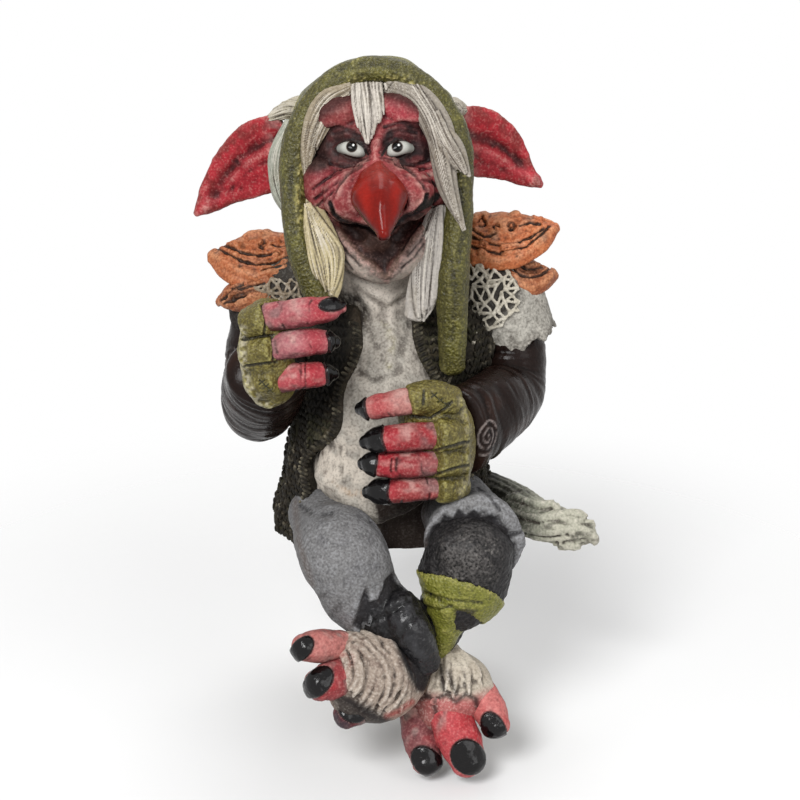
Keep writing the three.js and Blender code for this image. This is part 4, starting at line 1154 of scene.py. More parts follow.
def claw(piece, share):
    """Raises a lacquered black claw where `share` is 1, with a cuticle round it."""
    rim = ease(1 - np.abs(share - 0.35) / 0.35)
    piece.push(0.7 * ease((share - 0.45) / 0.3) - 0.6 * rim)
    piece.paint("c29a94", 0.6 * ease(1 - np.abs(share - 0.1) / 0.1))
    piece.paint("140d0e", rim * 0.9)
    piece.paint("0b090a", ease((share - 0.3) / 0.3))
    piece.gloss = np.maximum(piece.gloss, ease((share - 0.4) / 0.3))


TOES = [
    (
        "right_big_toe",
        [(-17, -98, -17.5), (-25.7, -103.4, -15.4), (-32, -107, -14)],
        6.6, oval((-39.4, -99.6), 6.0, 3.7, 49), "b3706a",
    ),
    (
        "right_middle_toe",
        [(-13, -100, -27), (-20.6, -106, -28.6), (-26, -110, -29)],
        8, oval((-32.8, -112.8), 7.4, 4.8, 48), "8c3c3e",
    ),
    (
        "right_little_toe",
        [(-6, -97, -43), (-11.5, -100.9, -44.7), (-16, -104, -46)],
        6.5, oval((-19.2, -124.4), 5.8, 4.4, -25), "3a2c33",
    ),
    (
        "left_big_toe",
        [(12, -85, -56), (14.8, -92, -64.3), (17, -97, -71)],
        7.4, oval((11, -144.8), 7.4, 5.2, -42), "744143",
    ),
    (
        "left_middle_toe",
        [(23.5, -88, -48.5), (29.5, -95, -60.5), (33.6, -99.4, -69.4)],
        9, oval((27.2, -142.8), 7.4, 6.6, -50), "b6494d",
    ),
    (
        "left_little_toe",
        [(38, -84, -43), (42, -89.6, -50.5), (45, -94, -56)],
        7, oval((37.4, -131.2), 6.8, 4.5, -60), "c2706c",
    ),
]
for name, spine, radius, nail, colour in TOES:
    stops = [(*at, r) for at, r in zip(spine, (radius * 0.86, radius, radius * 0.82))]
    toe = Casting(name, [swell(stops, side=(0, 0, 1))], 0.48, colour=colour)
    run = unit(np.array(spine[2]) - np.array(spine[0]))
    along = (toe.co - np.array(spine[0])) @ run
    toe.push(0.3 * toe.grain(3, 61) + 0.12 * toe.grain(1.2, 62))
    toe.paint("b88a82", ease(0.75 - along / 8) * 0.8 * ease(0.5 + toe.grain((2, 2, 4), 63)))
    toe.paint("1d1213", 0.7 * ease(toe.grain((1.6, 1.6, 5), 73) * 2.4 - 1.1) * ease(1.2 - along / 9))
    toe.cloud("a8242c", 4, 64, 0.5)
    toe.paint("93807a", 0.7 * ease(2 * toe.grain((3, 3, 7), 65) - 0.2) * ease(1.6 - along / 9))
    # Painted shade: each toe is darker where it turns away from the viewpoint and on its underside.
    toe.paint("22161a", 0.9 * ease(0.5 - 1.2 * (toe.no @ TOWARD)) + 0.5 * ease(-toe.no[:, 2] - 0.3))
    claw(toe, toe.patch(nail, 0.7))
    toe.finish(red_skin, "red_skin", name)

FINGERS = [
    (
        "left_index_finger",
        [(17, -74, 78.2), (2.9, -78, 76.7), (-5.7, -76.5, 74.5), (-9.3, -75.5, 73.7)],
        5.2, 4.4, 4.5, "b07670",
        [],
    ),
    (
        "left_middle_finger",
        [(21.7, -76, 63.4), (6, -80, 63.3), (-2.6, -79, 62.1), (-7.7, -78, 60.8)],
        5.6, 4.9, 9.5, "973237",
        [],
    ),
    (
        "left_ring_finger",
        [(22.6, -76, 52), (6.8, -80, 51.9), (-4.6, -79, 52), (-8.6, -78, 51.6)],
        5.2, 4.5, 7.0, "8c2f34",
        [],
    ),
    (
        "left_little_finger",
        [(22.7, -74, 40.1), (7.6, -78, 40.5), (-1.9, -77, 39.6), (-6.7, -75.5, 38.6)],
        5.0, 4.7, 10.5, "963d3e",
        [],
    ),
    (
        "right_index_finger",
        [(-49.1, -70, 109.3), (-32.5, -75, 113), (-21, -73.5, 114.1), (-16.4, -72.5, 114.2)],
        5.6, 4.8, 0.0, "a4545a", oval((-26.8, 38.4), 5.6, 2.7, 8),
    ),
    (
        "right_middle_finger",
        [(-47.9, -70, 96.2), (-32.7, -75, 100.8), (-23.1, -72.5, 100.4), (-19.3, -71.5, 100)],
        5.4, 4.6, 4.5, "a9646a",
        [],
    ),
    (
        "right_ring_finger",
        [(-46.7, -68, 82.3), (-32.3, -72, 86.2), (-23.8, -70, 86.3), (-20.3, -69, 86)],
        5.4, 4.4, 4.5, "ad4c52",
        [],
    ),
]
for name, spine, radius, tip_radius, claw_length, colour, nail in FINGERS:
    stops = [(*at, r) for at, r in zip(spine, (radius, radius, tip_radius, tip_radius * 0.45))]
    finger = Casting(name, [swell(stops, side=(0, 0, 1))], 0.42, colour=colour)
    run = unit(np.array(spine[2]) - np.array(spine[1]))
    to_tip = (np.array(spine[3]) - finger.co) @ run + tip_radius * 0.3
    bent = to_tip + 1.6 * finger.grain(4, 66)
    knuckles = sum(ease(1 - np.abs(bent - at) / 0.9) for at in (13.5, 15.6, 25.0))
    crease = knuckles * ease(0.2 + finger.grain(3.5, 70))
    finger.push(0.3 * finger.grain(3.2, 65) + 0.1 * finger.grain(1.3, 74) - 0.5 * crease)
    finger.paint("a02a34", ease(1 - np.abs(to_tip - 10) / 9) * 0.7)
    finger.cloud("b98680", (5, 2, 2), 67, 0.5)
    finger.paint(
        "c7a49c",
        0.55
        * ease(1 - np.abs(to_tip - 19) / 6)
        * ease(finger.no[:, 2] * 1.5 + 0.2)
        * ease(0.5 + finger.grain(2.2, 71)),
    )
    finger.paint("2c1719", crease * 0.7)
    finger.paint("7d6a68", ease((to_tip - 21) / 6) * 0.65 * ease(0.6 + finger.grain(3, 69)))
    # Painted shade: each finger is darker on its underside.
    finger.paint("1d1012", 0.9 * ease(-finger.no[:, 2] * 1.3 - 0.3))
    if nail:
        claw(finger, finger.patch(nail, 0.7))
    else:
        claw(finger, ease((claw_length - to_tip + 0.8 * finger.grain(5, 72)) / 1.6 + 0.5))
    finger.finish(red_skin, "red_skin", name)

# Arms. Both arms are clad in dark wrinkled leather from the shoulder to the wrist, cast in one piece each
# and glued over the shoulder pins. A pale spiral is raised on the leather near each wrist.
LEFT_ARM = [
    (46, -2, 98, 13.5), (52.2, -7.5, 79.5, 14.5), (52, -19, 62, 14.6), (44, -38.5, 60, 16, 14.6),
    (31.5, -58, 58, 19, 12.2),
]
RIGHT_ARM = [
    (-46, -2, 98, 13.5), (-52.5, -7.5, 77, 14.5), (-53, -19, 56, 15.5), (-50, -36.5, 68.5, 17),
    (-47, -54, 81, 16.5, 14.5),
]
brown_leather = painted(
    "brown_leather", 0.27, "090504", "6a4a3c", (0.9, 0.16), blotch=0.4, pebble=520, pits=0.5, bump=0.25,
    grit=0.2, shine=0.11,
)
SPIRAL = [(0.46 * t * math.cos(t), 0.46 * t * math.sin(t)) for t in np.linspace(1.0, 17.5, 90)]


def span(points, path):
    """How far along a path the nearest part of it lies, in mm."""
    dense = spline(path, 120)
    length = np.concatenate([[0], np.cumsum(np.linalg.norm(np.diff(dense, axis=0), axis=1))])
    nearest = np.argmin([np.linalg.norm(points - at, axis=1) for at in dense], axis=0)
    return length[nearest]


for side, stops, across, spiral in (
    ("left", LEFT_ARM, (0, 0, 1), (35.2, -14.8)), ("right", RIGHT_ARM, (1, 0, 0), (-67.6, 14.4))
):
    arm = Casting(side + "_arm", [swell(stops, side=across, domes=(0.8, 0.4))], 0.72, colour="1d1310")
    along = span(arm.co, [stop[:3] for stop in stops])
    bent = np.column_stack([along + 2.2 * arm.grain(11, 71), arm.co[:, 0], arm.co[:, 2]])
    arm.push(0.55 * grain(bent, (3.0, 22, 22), 72) + 0.3 * grain(bent, (1.6, 12, 12), 73))
    middle = np.argmin(
        np.linalg.norm(arm.portrait() - np.array(spiral), axis=1) + 50 * (arm.no @ TOWARD < 0.1)
    )
    near = np.linalg.norm(arm.co - arm.co[middle], axis=1)
    out = unit(arm.no[near < 4].mean(axis=0))
    level = unit(np.cross(out, UPWARD))
    flat = (arm.co - arm.co[middle]) @ np.column_stack([1.5 * level, np.cross(level, out)])
    ridge = ease(1 - distance(flat, SPIRAL) / 0.75) * (near < 10)
    arm.push(0.55 * ridge)
    arm.cloud("301e17", 7, 74, 0.7)
    arm.cloud("1b110e", 9, 75, 0.5)
    arm.paint("a59b98", ease(ridge * 1.4) * 0.6 * ease(0.8 + arm.grain(2, 76)))
    arm.finish(brown_leather, "brown_leather", side + "_arm", depth=0.35)

# Gloves. Fingerless gloves of green cloth, cast solid with the hand inside and glued over the wrists. Each
# finger has its own short sleeve with a seam beside it, and a few cross stitches are laid on in thread.
LEFT_GLOVE = [(23, -67, 39, 10, 8), (22, -69, 50, 14, 9), (20, -69, 64, 15, 9), (16, -69, 75, 12, 8)]
RIGHT_GLOVE = [
    (-45, -62, 78, 9, 9), (-45.5, -65, 87, 10.5, 11), (-46, -65, 100, 10, 11), (-45, -64, 109, 8, 8)
]
LEFT_STUBS = [
    ([(26.5, -70, 74.6), (17.7, -75, 79), (10.7, -77, 78)], 6.4),
    ([(29, -70, 62), (24.9, -76, 63.4), (20.9, -79, 64.2)], 6.6),
    ([(29.9, -70, 50.1), (25.7, -76, 52), (21.3, -79, 52.8)], 6.2),
    ([(29.2, -68, 38.5), (25.9, -74, 40.1), (21.8, -77, 40.5)], 5.8),
]
RIGHT_STUBS = [
    ([(-52.3, -70, 107.3), (-49.4, -72, 109.2), (-46.6, -73, 110.3)], 6.4),
    ([(-53, -70, 95), (-48.5, -72.5, 97.1), (-44.1, -74, 98.4)], 6.5),
    ([(-51.5, -68, 81.9), (-47.3, -70.5, 84), (-42.9, -72, 85.4)], 6.5),
]
for side, palm, stubs, seams, cuff, threads in (
    (
        "left", LEFT_GLOVE, LEFT_STUBS,
        (
            [(14.4, -20), (20.8, -18.4), (27.2, -16.4)],
            [(14.8, -29.6), (20.8, -27.6), (26.8, -26)],
            [(4.8, -6.4), (12, -7.2), (18.4, -3.2), (20.8, -0.8)],
            [(9.6, 3.6), (9.2, -1.6)],
        ),
        [(24.8, 0), (26.8, -8.8), (26.8, -32), (24.8, -37.6)],
        [(13.6, 2), (16, 0), (18.4, -1.6)],
    ),
    (
        "right", RIGHT_GLOVE, RIGHT_STUBS,
        (
            [(-62.8, 24), (-56.8, 25.2), (-50.4, 26)],
            [(-62, 13.6), (-56, 14.4), (-49.6, 15.2)],
            [(-55.2, 37.6), (-53.6, 32), (-54.4, 26.4)],
            [(-51.2, 24.8), (-50.4, 20), (-50.8, 15.2)],
        ),
        [(-63.2, 28), (-63.6, 16.8), (-61.2, 5.6), (-56.8, -0.8), (-49.6, -4), (-40, -1.6)],
        [(-55.2, 7.2), (-53.6, 5.6), (-52, 4)],
    ),
):
    sheaths = [swell([(*at, r) for at in spine], side=(0, 0, 1), domes=(0.3, 0.35)) for spine, r in stubs]
    glove = Casting(side + "_glove", [swell(palm), *sheaths], 0.54, soften=6, colour="5e5424")
    glove.push(0.22 * glove.grain(1.6, 81) + 0.4 * glove.grain(6, 82))
    seam = glove.lines(1.0, *seams)
    glove.push(-0.9 * seam + 0.35 * glove.lines(2.4, *seams) + 0.7 * glove.line(cuff, 1.6))
    glove.cloud("786c36", 4, 83, 0.6)
    glove.cloud("4a431b", 6, 84, 0.6)
    edge = ease(1.3 - distance(glove.portrait(), cuff) / 2.4) * (glove.no @ TOWARD > -0.2)
    frayed = 0.85 if side == "right" else 0.3
    glove.paint("b8b098", frayed * edge * ease(0.6 + 1.6 * glove.grain(1.5, 86)))
    glove.paint("1f1b0e", ease(seam * 1.3) * 0.85)
    glove.paint("241f10", 0.75 * ease(glove.grain(1.5, 85) * 3 - 1.7))
    glove.finish(olive_cloth, "green_cloth", side + "_glove", depth=0.35)
    on_glove = Ground([mesh_form(glove.obj.data)])
    crosses = [
        [(x - 1.1, y + s * 0.9), (x, y), (x + 1.1, y - s * 0.9)] for x, y in threads for s in (1, -1)
    ]
    laid = [(on_glove.under(path, 0.1), np.full(3, 0.32)) for path in crosses]
    sewn = Casting(side + "_glove_stitches", [strands(laid, olive_cloth, 6)], colour="39371a")
    sewn.finish(olive_cloth, "green_cloth")

# Head. One red casting with brow, cheeks, muzzle, jaw and an open mouth, glued on the neck pin. The eye
# mask, the lids, the smile and the folds are modelled, then picked out in dark paint, and the ridges are
# dry-brushed pale.
HEAD = (-4, -14, 160)
RIGHT_UPPER_LID = [(-25.6, 100.8), (-22.8, 103.2), (-19.2, 104), (-15.6, 102.4), (-12.8, 98.4)]
RIGHT_LOWER_LID = [(-24.8, 99.6), (-21.6, 97.2), (-18, 96), (-14.8, 96), (-12.4, 97.2)]
LEFT_UPPER_LID = [(-7.2, 98), (-4.8, 102), (-1.6, 104.4), (2, 103.6), (5.2, 100.8)]
LEFT_LOWER_LID = [(-6.4, 96.8), (-3.2, 96), (0.8, 96.8), (4.8, 99.6)]
SMILE = [
    (-28, 78.8), (-26.4, 74.4), (-23.2, 71.6), (-18.4, 70.4), (-13.6, 69.2), (-10.4, 67.2), (-6.8, 64.8),
    (-2.8, 68.8), (2, 73.6), (6.4, 75.2), (9.6, 78), (10.8, 82),
]
MOUTH = [
    (-26.8, 74.4), (-22, 71.6), (-15.2, 68.8), (-9.6, 66), (-6.4, 64), (-2.4, 68), (2.4, 72.4), (8, 74.8),
    (12, 76.8), (9.6, 72.8), (5.2, 68.4), (1.2, 63.2), (-2, 57.2), (-6, 51.2), (-9.6, 53.6), (-14.4, 59.2),
    (-20, 64), (-24.8, 69.2),
]
LOWER_LIP = [
    (-26.4, 69.6), (-21.2, 63.2), (-15.6, 57.6), (-10.4, 52), (-6.4, 49.2), (-1.6, 55.2), (2, 61.6),
    (6, 66.8), (10.4, 71.2),
]
head = Casting(
    "head",
    [
        lump(HEAD, (31, 33, 34)),
        lump((-17.2, -33, 182.4), (12, 8, 7), 12),
        lump((7.6, -33, 183.2), (13, 8, 7), -12), lump((-24.8, -38, 154.6), (8, 8, 11)),
        lump((19.5, -36, 155), (7, 8, 11)),
        lump((-13.5, -49, 152.6), (10.5, 13, 10.5)),
        lump((9.9, -49, 153.4), (9.5, 13, 10)), lump((-1.8, -50, 148.8), (15, 12, 8)),
        swell([(-3, -42, 170.9, 4, 5), (-2.6, -48, 164.3, 9, 6), (-1.8, -54, 157.1, 14, 8)]),
        swell([(-4, -18, 142, 23, 15), (-3, -36, 135, 15, 10), (-3, -42, 131, 9, 8)]),
        swell(
            [
                (-21.6, -32, 141.7, 6), (-15.1, -38, 130.9, 7.5), (-7.6, -41, 124.3, 7.5),
                (-0.8, -42, 120.5, 6),
            ]
        ),
        swell(
            [(20, -32, 142.5, 6), (14.4, -38, 133.4, 7.5), (7.2, -41, 125.6, 7.5), (-0.8, -42, 120.5, 6)]
        ),
        swell([(-4, -16, 140, 15), (-2, -17, 112, 14)]),
    ],
    0.57, soften=7, colour="8a3c3e",
)
sockets = np.maximum(
    head.patch(oval((-19.6, 100), 8.4, 5.4, -12), 2.5), head.patch(oval((-0.4, 100), 8.4, 5.4, 12), 2.5)
)
head.push(-2.2 * sockets)
head.push(
    1.2 * head.lines(1.5, RIGHT_UPPER_LID, LEFT_UPPER_LID)
    + 0.9 * head.lines(1.3, RIGHT_LOWER_LID, LEFT_LOWER_LID)
)
folds = [
    [(-34.8, 84.4), (-30, 88), (-23.6, 91.6)],
    [(-34, 80.4), (-28.8, 84.4), (-24, 88)],
    [(-32.8, 77.6), (-28.8, 81.2), (-26.4, 84)],
    [(8, 92), (12, 92.8), (16, 94.4)],
    [(9.2, 88), (12.8, 87.2), (16, 84.4)],
    [(-15.2, 93.6), (-20.8, 90.4), (-24.8, 85.6), (-27.2, 80)],
    [(-1.6, 94.4), (4.8, 91.2), (9.2, 86.4), (11.2, 81.6)],
    [(-29.6, 108), (-24.8, 109.2), (-18.4, 107.6)],
    [(-6.4, 109.2), (0.8, 111.2), (8.8, 110)],
    [(-28, 94.4), (-22.4, 93.2), (-16.8, 94)],
    [(-0.8, 94.4), (5.6, 94), (12, 96)],
    [(-26.4, 106.4), (-21.6, 107.6), (-16, 105.6)],
    [(-4.8, 106.4), (0, 108), (6.4, 106.8)],
]
fold = head.lines(1.2, *folds)
head.push(-0.7 * fold + 0.3 * head.lines(3.2, *folds))
head.push(-2.2 * head.patch(MOUTH, 3.4))
head.push(-1.6 * head.line(SMILE, 1.5) + 0.7 * head.line([(x, y + 1.9) for x, y in SMILE], 1.7))
nostrils = head.lines(
    1.2, [(-18, 81.6), (-17.6, 79.2), (-16.4, 77.2)], [(2, 81.2), (2.4, 79.2), (1.6, 77.2)]
)
head.push(
    -1.6 * nostrils
    + 0.6 * head.lines(
        2.4, [(-20, 82.4), (-19.6, 78.4), (-17.6, 75.2)], [(4.4, 82.4), (4.8, 78.8), (3.2, 75.6)]
    )
)
wrinkles = head.lines(
    0.9,
    [(-25.6, 65.6), (-20.8, 58.4), (-16, 53.6)],
    [(-28, 66.4), (-24, 58.4), (-19.2, 52)],
    [(11.2, 69.6), (8, 63.2), (3.2, 57.6)],
    [(9.6, 62.4), (5.6, 56.8), (0.8, 52.8)],
    [(8, 71.2), (4, 65.6), (0.8, 60)],
)
head.push(-0.4 * wrinkles + 0.22 * head.grain(2.6, 91) + 0.12 * head.grain((1.4, 1.4, 3), 92))
mottle = ease(0.55 + 0.9 * head.grain(2.4, 93))
head.fill(
    "2c1d1b", 0.97, 2.4,
    [
        (-36.8, 107.2), (-28, 110), (-17.6, 108.8), (-12.8, 104), (-12, 100), (-14.4, 94.8), (-21.6, 92.8),
        (-29.6, 92.4), (-37.6, 92.8), (-38.4, 100.8),
    ],
    mask=0.8 + 0.2 * mottle,
)
temple = (
    ease((-20 - head.co[:, 0]) / 4) * ease(1.5 - np.abs(head.co[:, 2] - 167) / 8) * (head.co[:, 1] < -8)
)
head.paint("2c1d1b", 0.9 * temple)
head.fill(
    "1a1415", 0.97, 2.0,
    [
        (-8, 103.2), (-6, 108.8), (0, 111.2), (8, 111.6), (13.6, 108.8), (16, 101.6), (14.8, 94.8),
        (6.4, 93.6), (-0.8, 93.6), (-7.2, 95.6),
    ],
    mask=0.7 + 0.3 * mottle,
)
head.fill(
    "4a2a2b", 0.4, 2.5, [(4.8, 108), (11.2, 107.2), (13.6, 102), (9.6, 99.2), (4.8, 102.4)], mask=mottle
)
head.fill(
    "86403f", 1.0, 1.3,
    [
        (-28.8, 111.6), (-26.8, 116.4), (-22.4, 120.4), (-18.8, 122), (-17.6, 115.2), (-18.4, 110.8),
        (-23.2, 110.8),
    ],
    mask=0.45 + 0.55 * mottle,
)
head.fill(
    "a03c44", 1.0, 1.3,
    [(-6.4, 111.6), (-6, 120), (-2.4, 121.2), (4, 117.6), (8, 113.6), (6.4, 111.2), (0.8, 112)],
    mask=0.45 + 0.55 * mottle,
)
head.fill(
    "863638", 0.9, 1.8,
    [
        (-11.6, 100), (-6, 100), (-1.6, 94.4), (5.6, 90.4), (10, 84.8), (10.8, 80.8), (7.2, 76.8),
        (1.6, 74.4), (-6.8, 67.2), (-15.2, 70.4), (-22.4, 72.4), (-26.8, 76.8), (-26, 84), (-20.8, 90.4),
        (-15.2, 94.4),
    ],
)
head.stroke(
    "b98a80", 0.62, 2.4,
    [(-13.6, 96), (-20, 91.6), (-24, 86), (-26, 78.8), (-23.2, 74)],
    [(-4, 96), (3.2, 91.6), (8, 86), (9.2, 80.8), (4.8, 76.4)],
    [(-21.6, 73.2), (-16.8, 71.6), (-12.8, 70.4)],
    mask=mottle,
)
head.paint(
    "8c343a",
    0.8 * head.patch(
        [(-35.6, 89.6), (-26.4, 92.8), (-23.2, 89.6), (-27.2, 81.6), (-29.6, 76.8), (-35.2, 77.6)], 2
    )
    + 0.8 * head.patch([(7.2, 92.8), (15.2, 94.4), (16, 83.2), (12, 80.8), (9.6, 86.4)], 2),
)
head.paint("54302c", 0.6 * mottle * head.patch([(9.6, 90.4), (16.8, 92.8), (17.6, 81.6), (12, 80.8)], 2))
head.stroke(
    "b98f84", 0.7, 1.6,
    [(-33.6, 77.6), (-29.6, 78.4), (-27.2, 76)],
    [(-32, 83.2), (-27.6, 86.4)],
    [(9.6, 89.6), (14.4, 90.4)],
    mask=mottle,
)
head.paint(
    "998981",
    0.95 * head.patch(
        [
            (-29.6, 71.2), (-22, 64.8), (-16, 58.4), (-9.6, 52.8), (-5.6, 49.6), (-5.6, 40), (-19.2, 44),
            (-28, 55.2), (-32, 66),
        ],
        2.0,
    )
    + 0.95 * head.patch(
        [(13.6, 74.4), (9.6, 69.6), (4.8, 64), (0, 57.6), (-4.8, 50.4), (-6.4, 40), (8, 51.2), (15.2, 64)],
        2.0,
    ),
)
head.paint("3d2c27", 0.8 * ease(0.3 + 2.4 * head.grain((2.2, 2.2, 5), 94)) * (head.co[:, 2] < 144))
# The chin's underside is pale skin, painted paler still as painted light where the jaw's own shade falls on
# it.
head.fill(
    "aca297", 0.9, 2.5,
    [
        (-24.8, 57.6), (-18.4, 57.6), (-11.2, 51.6), (-5.6, 47.2), (1.6, 52.8), (8, 59.2), (9.6, 49.6),
        (-4, 38.4), (-20, 40.8), (-25.6, 50),
    ],
)
head.stroke(
    "6a564b", 0.9, 2.6,
    [(-24.8, 67.2), (-17.6, 60.4), (-11.2, 54.8), (-6, 49.6)],
    [(11.2, 71.2), (4.8, 64.4), (-0.4, 57.2), (-4.8, 49.6)],
)
head.fill("a84c4d", 0.6, 2.0, [(-11.2, 100), (-6.4, 100), (-3.2, 94.4), (-8, 92.8), (-12.8, 94.4)])
# The open mouth is painted dark brown; this also stands for painted shade under the beak and inside the
# mouth.
head.paint("2c1d18", 0.75 * mottle * head.patch(MOUTH, 5.5))
head.fill("33211b", 1.0, 1.8, MOUTH)
head.stroke(
    "1a100d", 0.8, 2.6,
    [(-22, 71.2), (-15.2, 68.8), (-9.6, 66.4), (-6.4, 64.4), (-2.4, 68.4), (2.4, 72.8), (8, 74.8)],
)
head.stroke(
    "362b26", 0.6, 1.1,
    [(-13.2, 52.8), (-10.8, 50.8), (-8, 48.8), (-5.6, 48), (-2.8, 49.2), (-0.4, 51.2), (2, 54.4)],
)
head.stroke(
    "4a332c", 0.5, 3.0, [(-17.6, 62.4), (-12, 57.6), (-7.2, 54.4)], [(3.2, 65.6), (-0.8, 60), (-4.8, 54.4)]
)
head.stroke("231815", 0.6, 1.6, [(x, y - 3.4) for x, y in LOWER_LIP], mask=mottle)
head.paint("1c1213", 0.7 * ease(fold * 1.3) * (0.4 + 0.6 * mottle) + 0.75 * wrinkles)
head.paint(
    "0c0909",
    ease(head.line(SMILE, 1.6) * 1.6)
    + nostrils
    + ease(1.6 * head.line([(8.8, 77.2), (12, 78.8), (14.8, 81.6)], 2.4)),
)
head.paint(
    "0d0a0a",
    ease(1.4 * head.lines(1.2, RIGHT_UPPER_LID, LEFT_UPPER_LID))
    + 0.85 * head.lines(1.0, RIGHT_LOWER_LID, LEFT_LOWER_LID),
)
# Painted shade: the top of the head is painted dark towards its outline, where it runs in under the hair
# and the hood.
head.paint(
    "241916",
    ease((np.linalg.norm(head.co[:, [0, 2]] - [-4, 160], axis=1) - 26) / 5) * (head.co[:, 2] > 146) * 0.85,
)
head.finish(red_skin, "red_skin", "head", depth=0.4)

# Eyes. Two almond-shaped eyes set into the sockets as small white castings, with painted pupils under clear
# lacquer.
eye_white = painted(
    "lacquered_eye", 0.2, "6a625c", "ffffff", (0.3, 0.0), blotch=0.06, pebble=300, bump=0.02, grit=0.0,
    shine=0.12,
)
for side, spine, pupil, glint in (
    (
        "right",
        [
            (-16.5, -40.5, 169.6), (-14.7, -43, 170.3), (-12.7, -44, 170.1), (-10.4, -43.8, 169.2),
            (-8.3, -42.4, 167.9),
        ],
        (-19.3, 101.3), (-18.7, 102),
    ),
    (
        "left",
        [
            (9.3, -40.5, 169.7), (7.4, -43, 170.5), (5.2, -44, 170.3), (3.1, -43.8, 169.4),
            (1.1, -42.4, 167.9),
        ],
        (-1.1, 101.3), (-0.5, 102),
    ),
):
    stops = [(*at, high, 2.6) for at, high in zip(spine, (2.0, 2.55, 2.75, 2.45, 1.5))]
    eye = Casting(side + "_eye", [swell(stops, side=(0, 0, 1))], 0.25, colour="b9bab3")
    to_pupil = np.linalg.norm(eye.portrait() - np.array(pupil), axis=1)
    # Painted shade: the white is greyer towards both corners of the eye, where the lids shade it.
    eye.paint("7f827c", 0.7 * ease((to_pupil - 3.2) / 2.6))
    eye.paint("3a2c26", ease((2.5 - to_pupil) / 0.4))
    eye.paint("050505", ease((2.1 - to_pupil) / 0.35))
    eye.paint("f4f6f4", ease((0.55 - np.linalg.norm(eye.portrait() - np.array(glint), axis=1)) / 0.25))
    eye.gloss[:] = 0.35
    eye.finish(eye_white, "eye_white", side + "_eye")

# Beak. A broad pointed nose like a bird's beak, cast in clear red over a darker base and heavily lacquered.
# It is glued to the front of the muzzle.
red_beak = painted(
    "lacquered_beak", 0.28, "2c0504", "c9493a", (0.6, 0.1), blotch=0.3, pebble=500, pits=0.6, bump=0.12,
    grit=0.2, shine=0.1,
)
BEAK = [
    (-4, -45, 166, 2.0), (-3.4, -51, 163.5, 4.6, 3.6), (-2.8, -58, 160.5, 8.4, 5.6),
    (-2, -65, 156.8, 11.0, 7.4), (-1.2, -71.5, 152.4, 8.2, 7.4), (-0.2, -80, 145.6, 2.4),
]
beak = Casting("beak", [swell(BEAK)], 0.42, soften=3, colour="74120a")
beak.push(
    0.9 * beak.line([(-8.4, 94.4), (-8, 84), (-7.2, 74), (-6.4, 65.6)], 4) + 0.25 * beak.grain(3.5, 101)
)
beak.fill("8a352f", 1.0, 3, [(-15.2, 89.6), (-8, 99.2), (-1.6, 89.6), (-8, 87.2)])
beak.paint(
    "921c12",
    0.7 * beak.patch([(-18.4, 83.2), (-13.6, 88.8), (-11.2, 81.6), (-12, 72), (-15.2, 73.6)], 2.5)
    + 0.7 * beak.patch([(1.6, 84), (-2.4, 88.8), (-4, 81.6), (-2.4, 72), (0, 75.2)], 2.5),
)
beak.fill("6a110b", 0.6, 3, [(-10.4, 86.4), (-4.8, 86.4), (-4, 77.6), (-6.4, 74.4), (-9.6, 76.8)])
# Painted shade: the beak is painted darker on its underside and along its lower edges.
beak.paint(
    "3d0806",
    0.8 * ease(-beak.no[:, 2] * 1.4)
    + 0.5 * beak.lines(2.4, [(-18.4, 82.4), (-14.4, 72), (-8, 64)], [(2, 83.2), (0, 72.8), (-4.4, 64)]),
)
beak.gloss = 0.4 * ease((166 - beak.co[:, 2]) / 8)
beak.finish(red_beak, "red_beak", "beak")

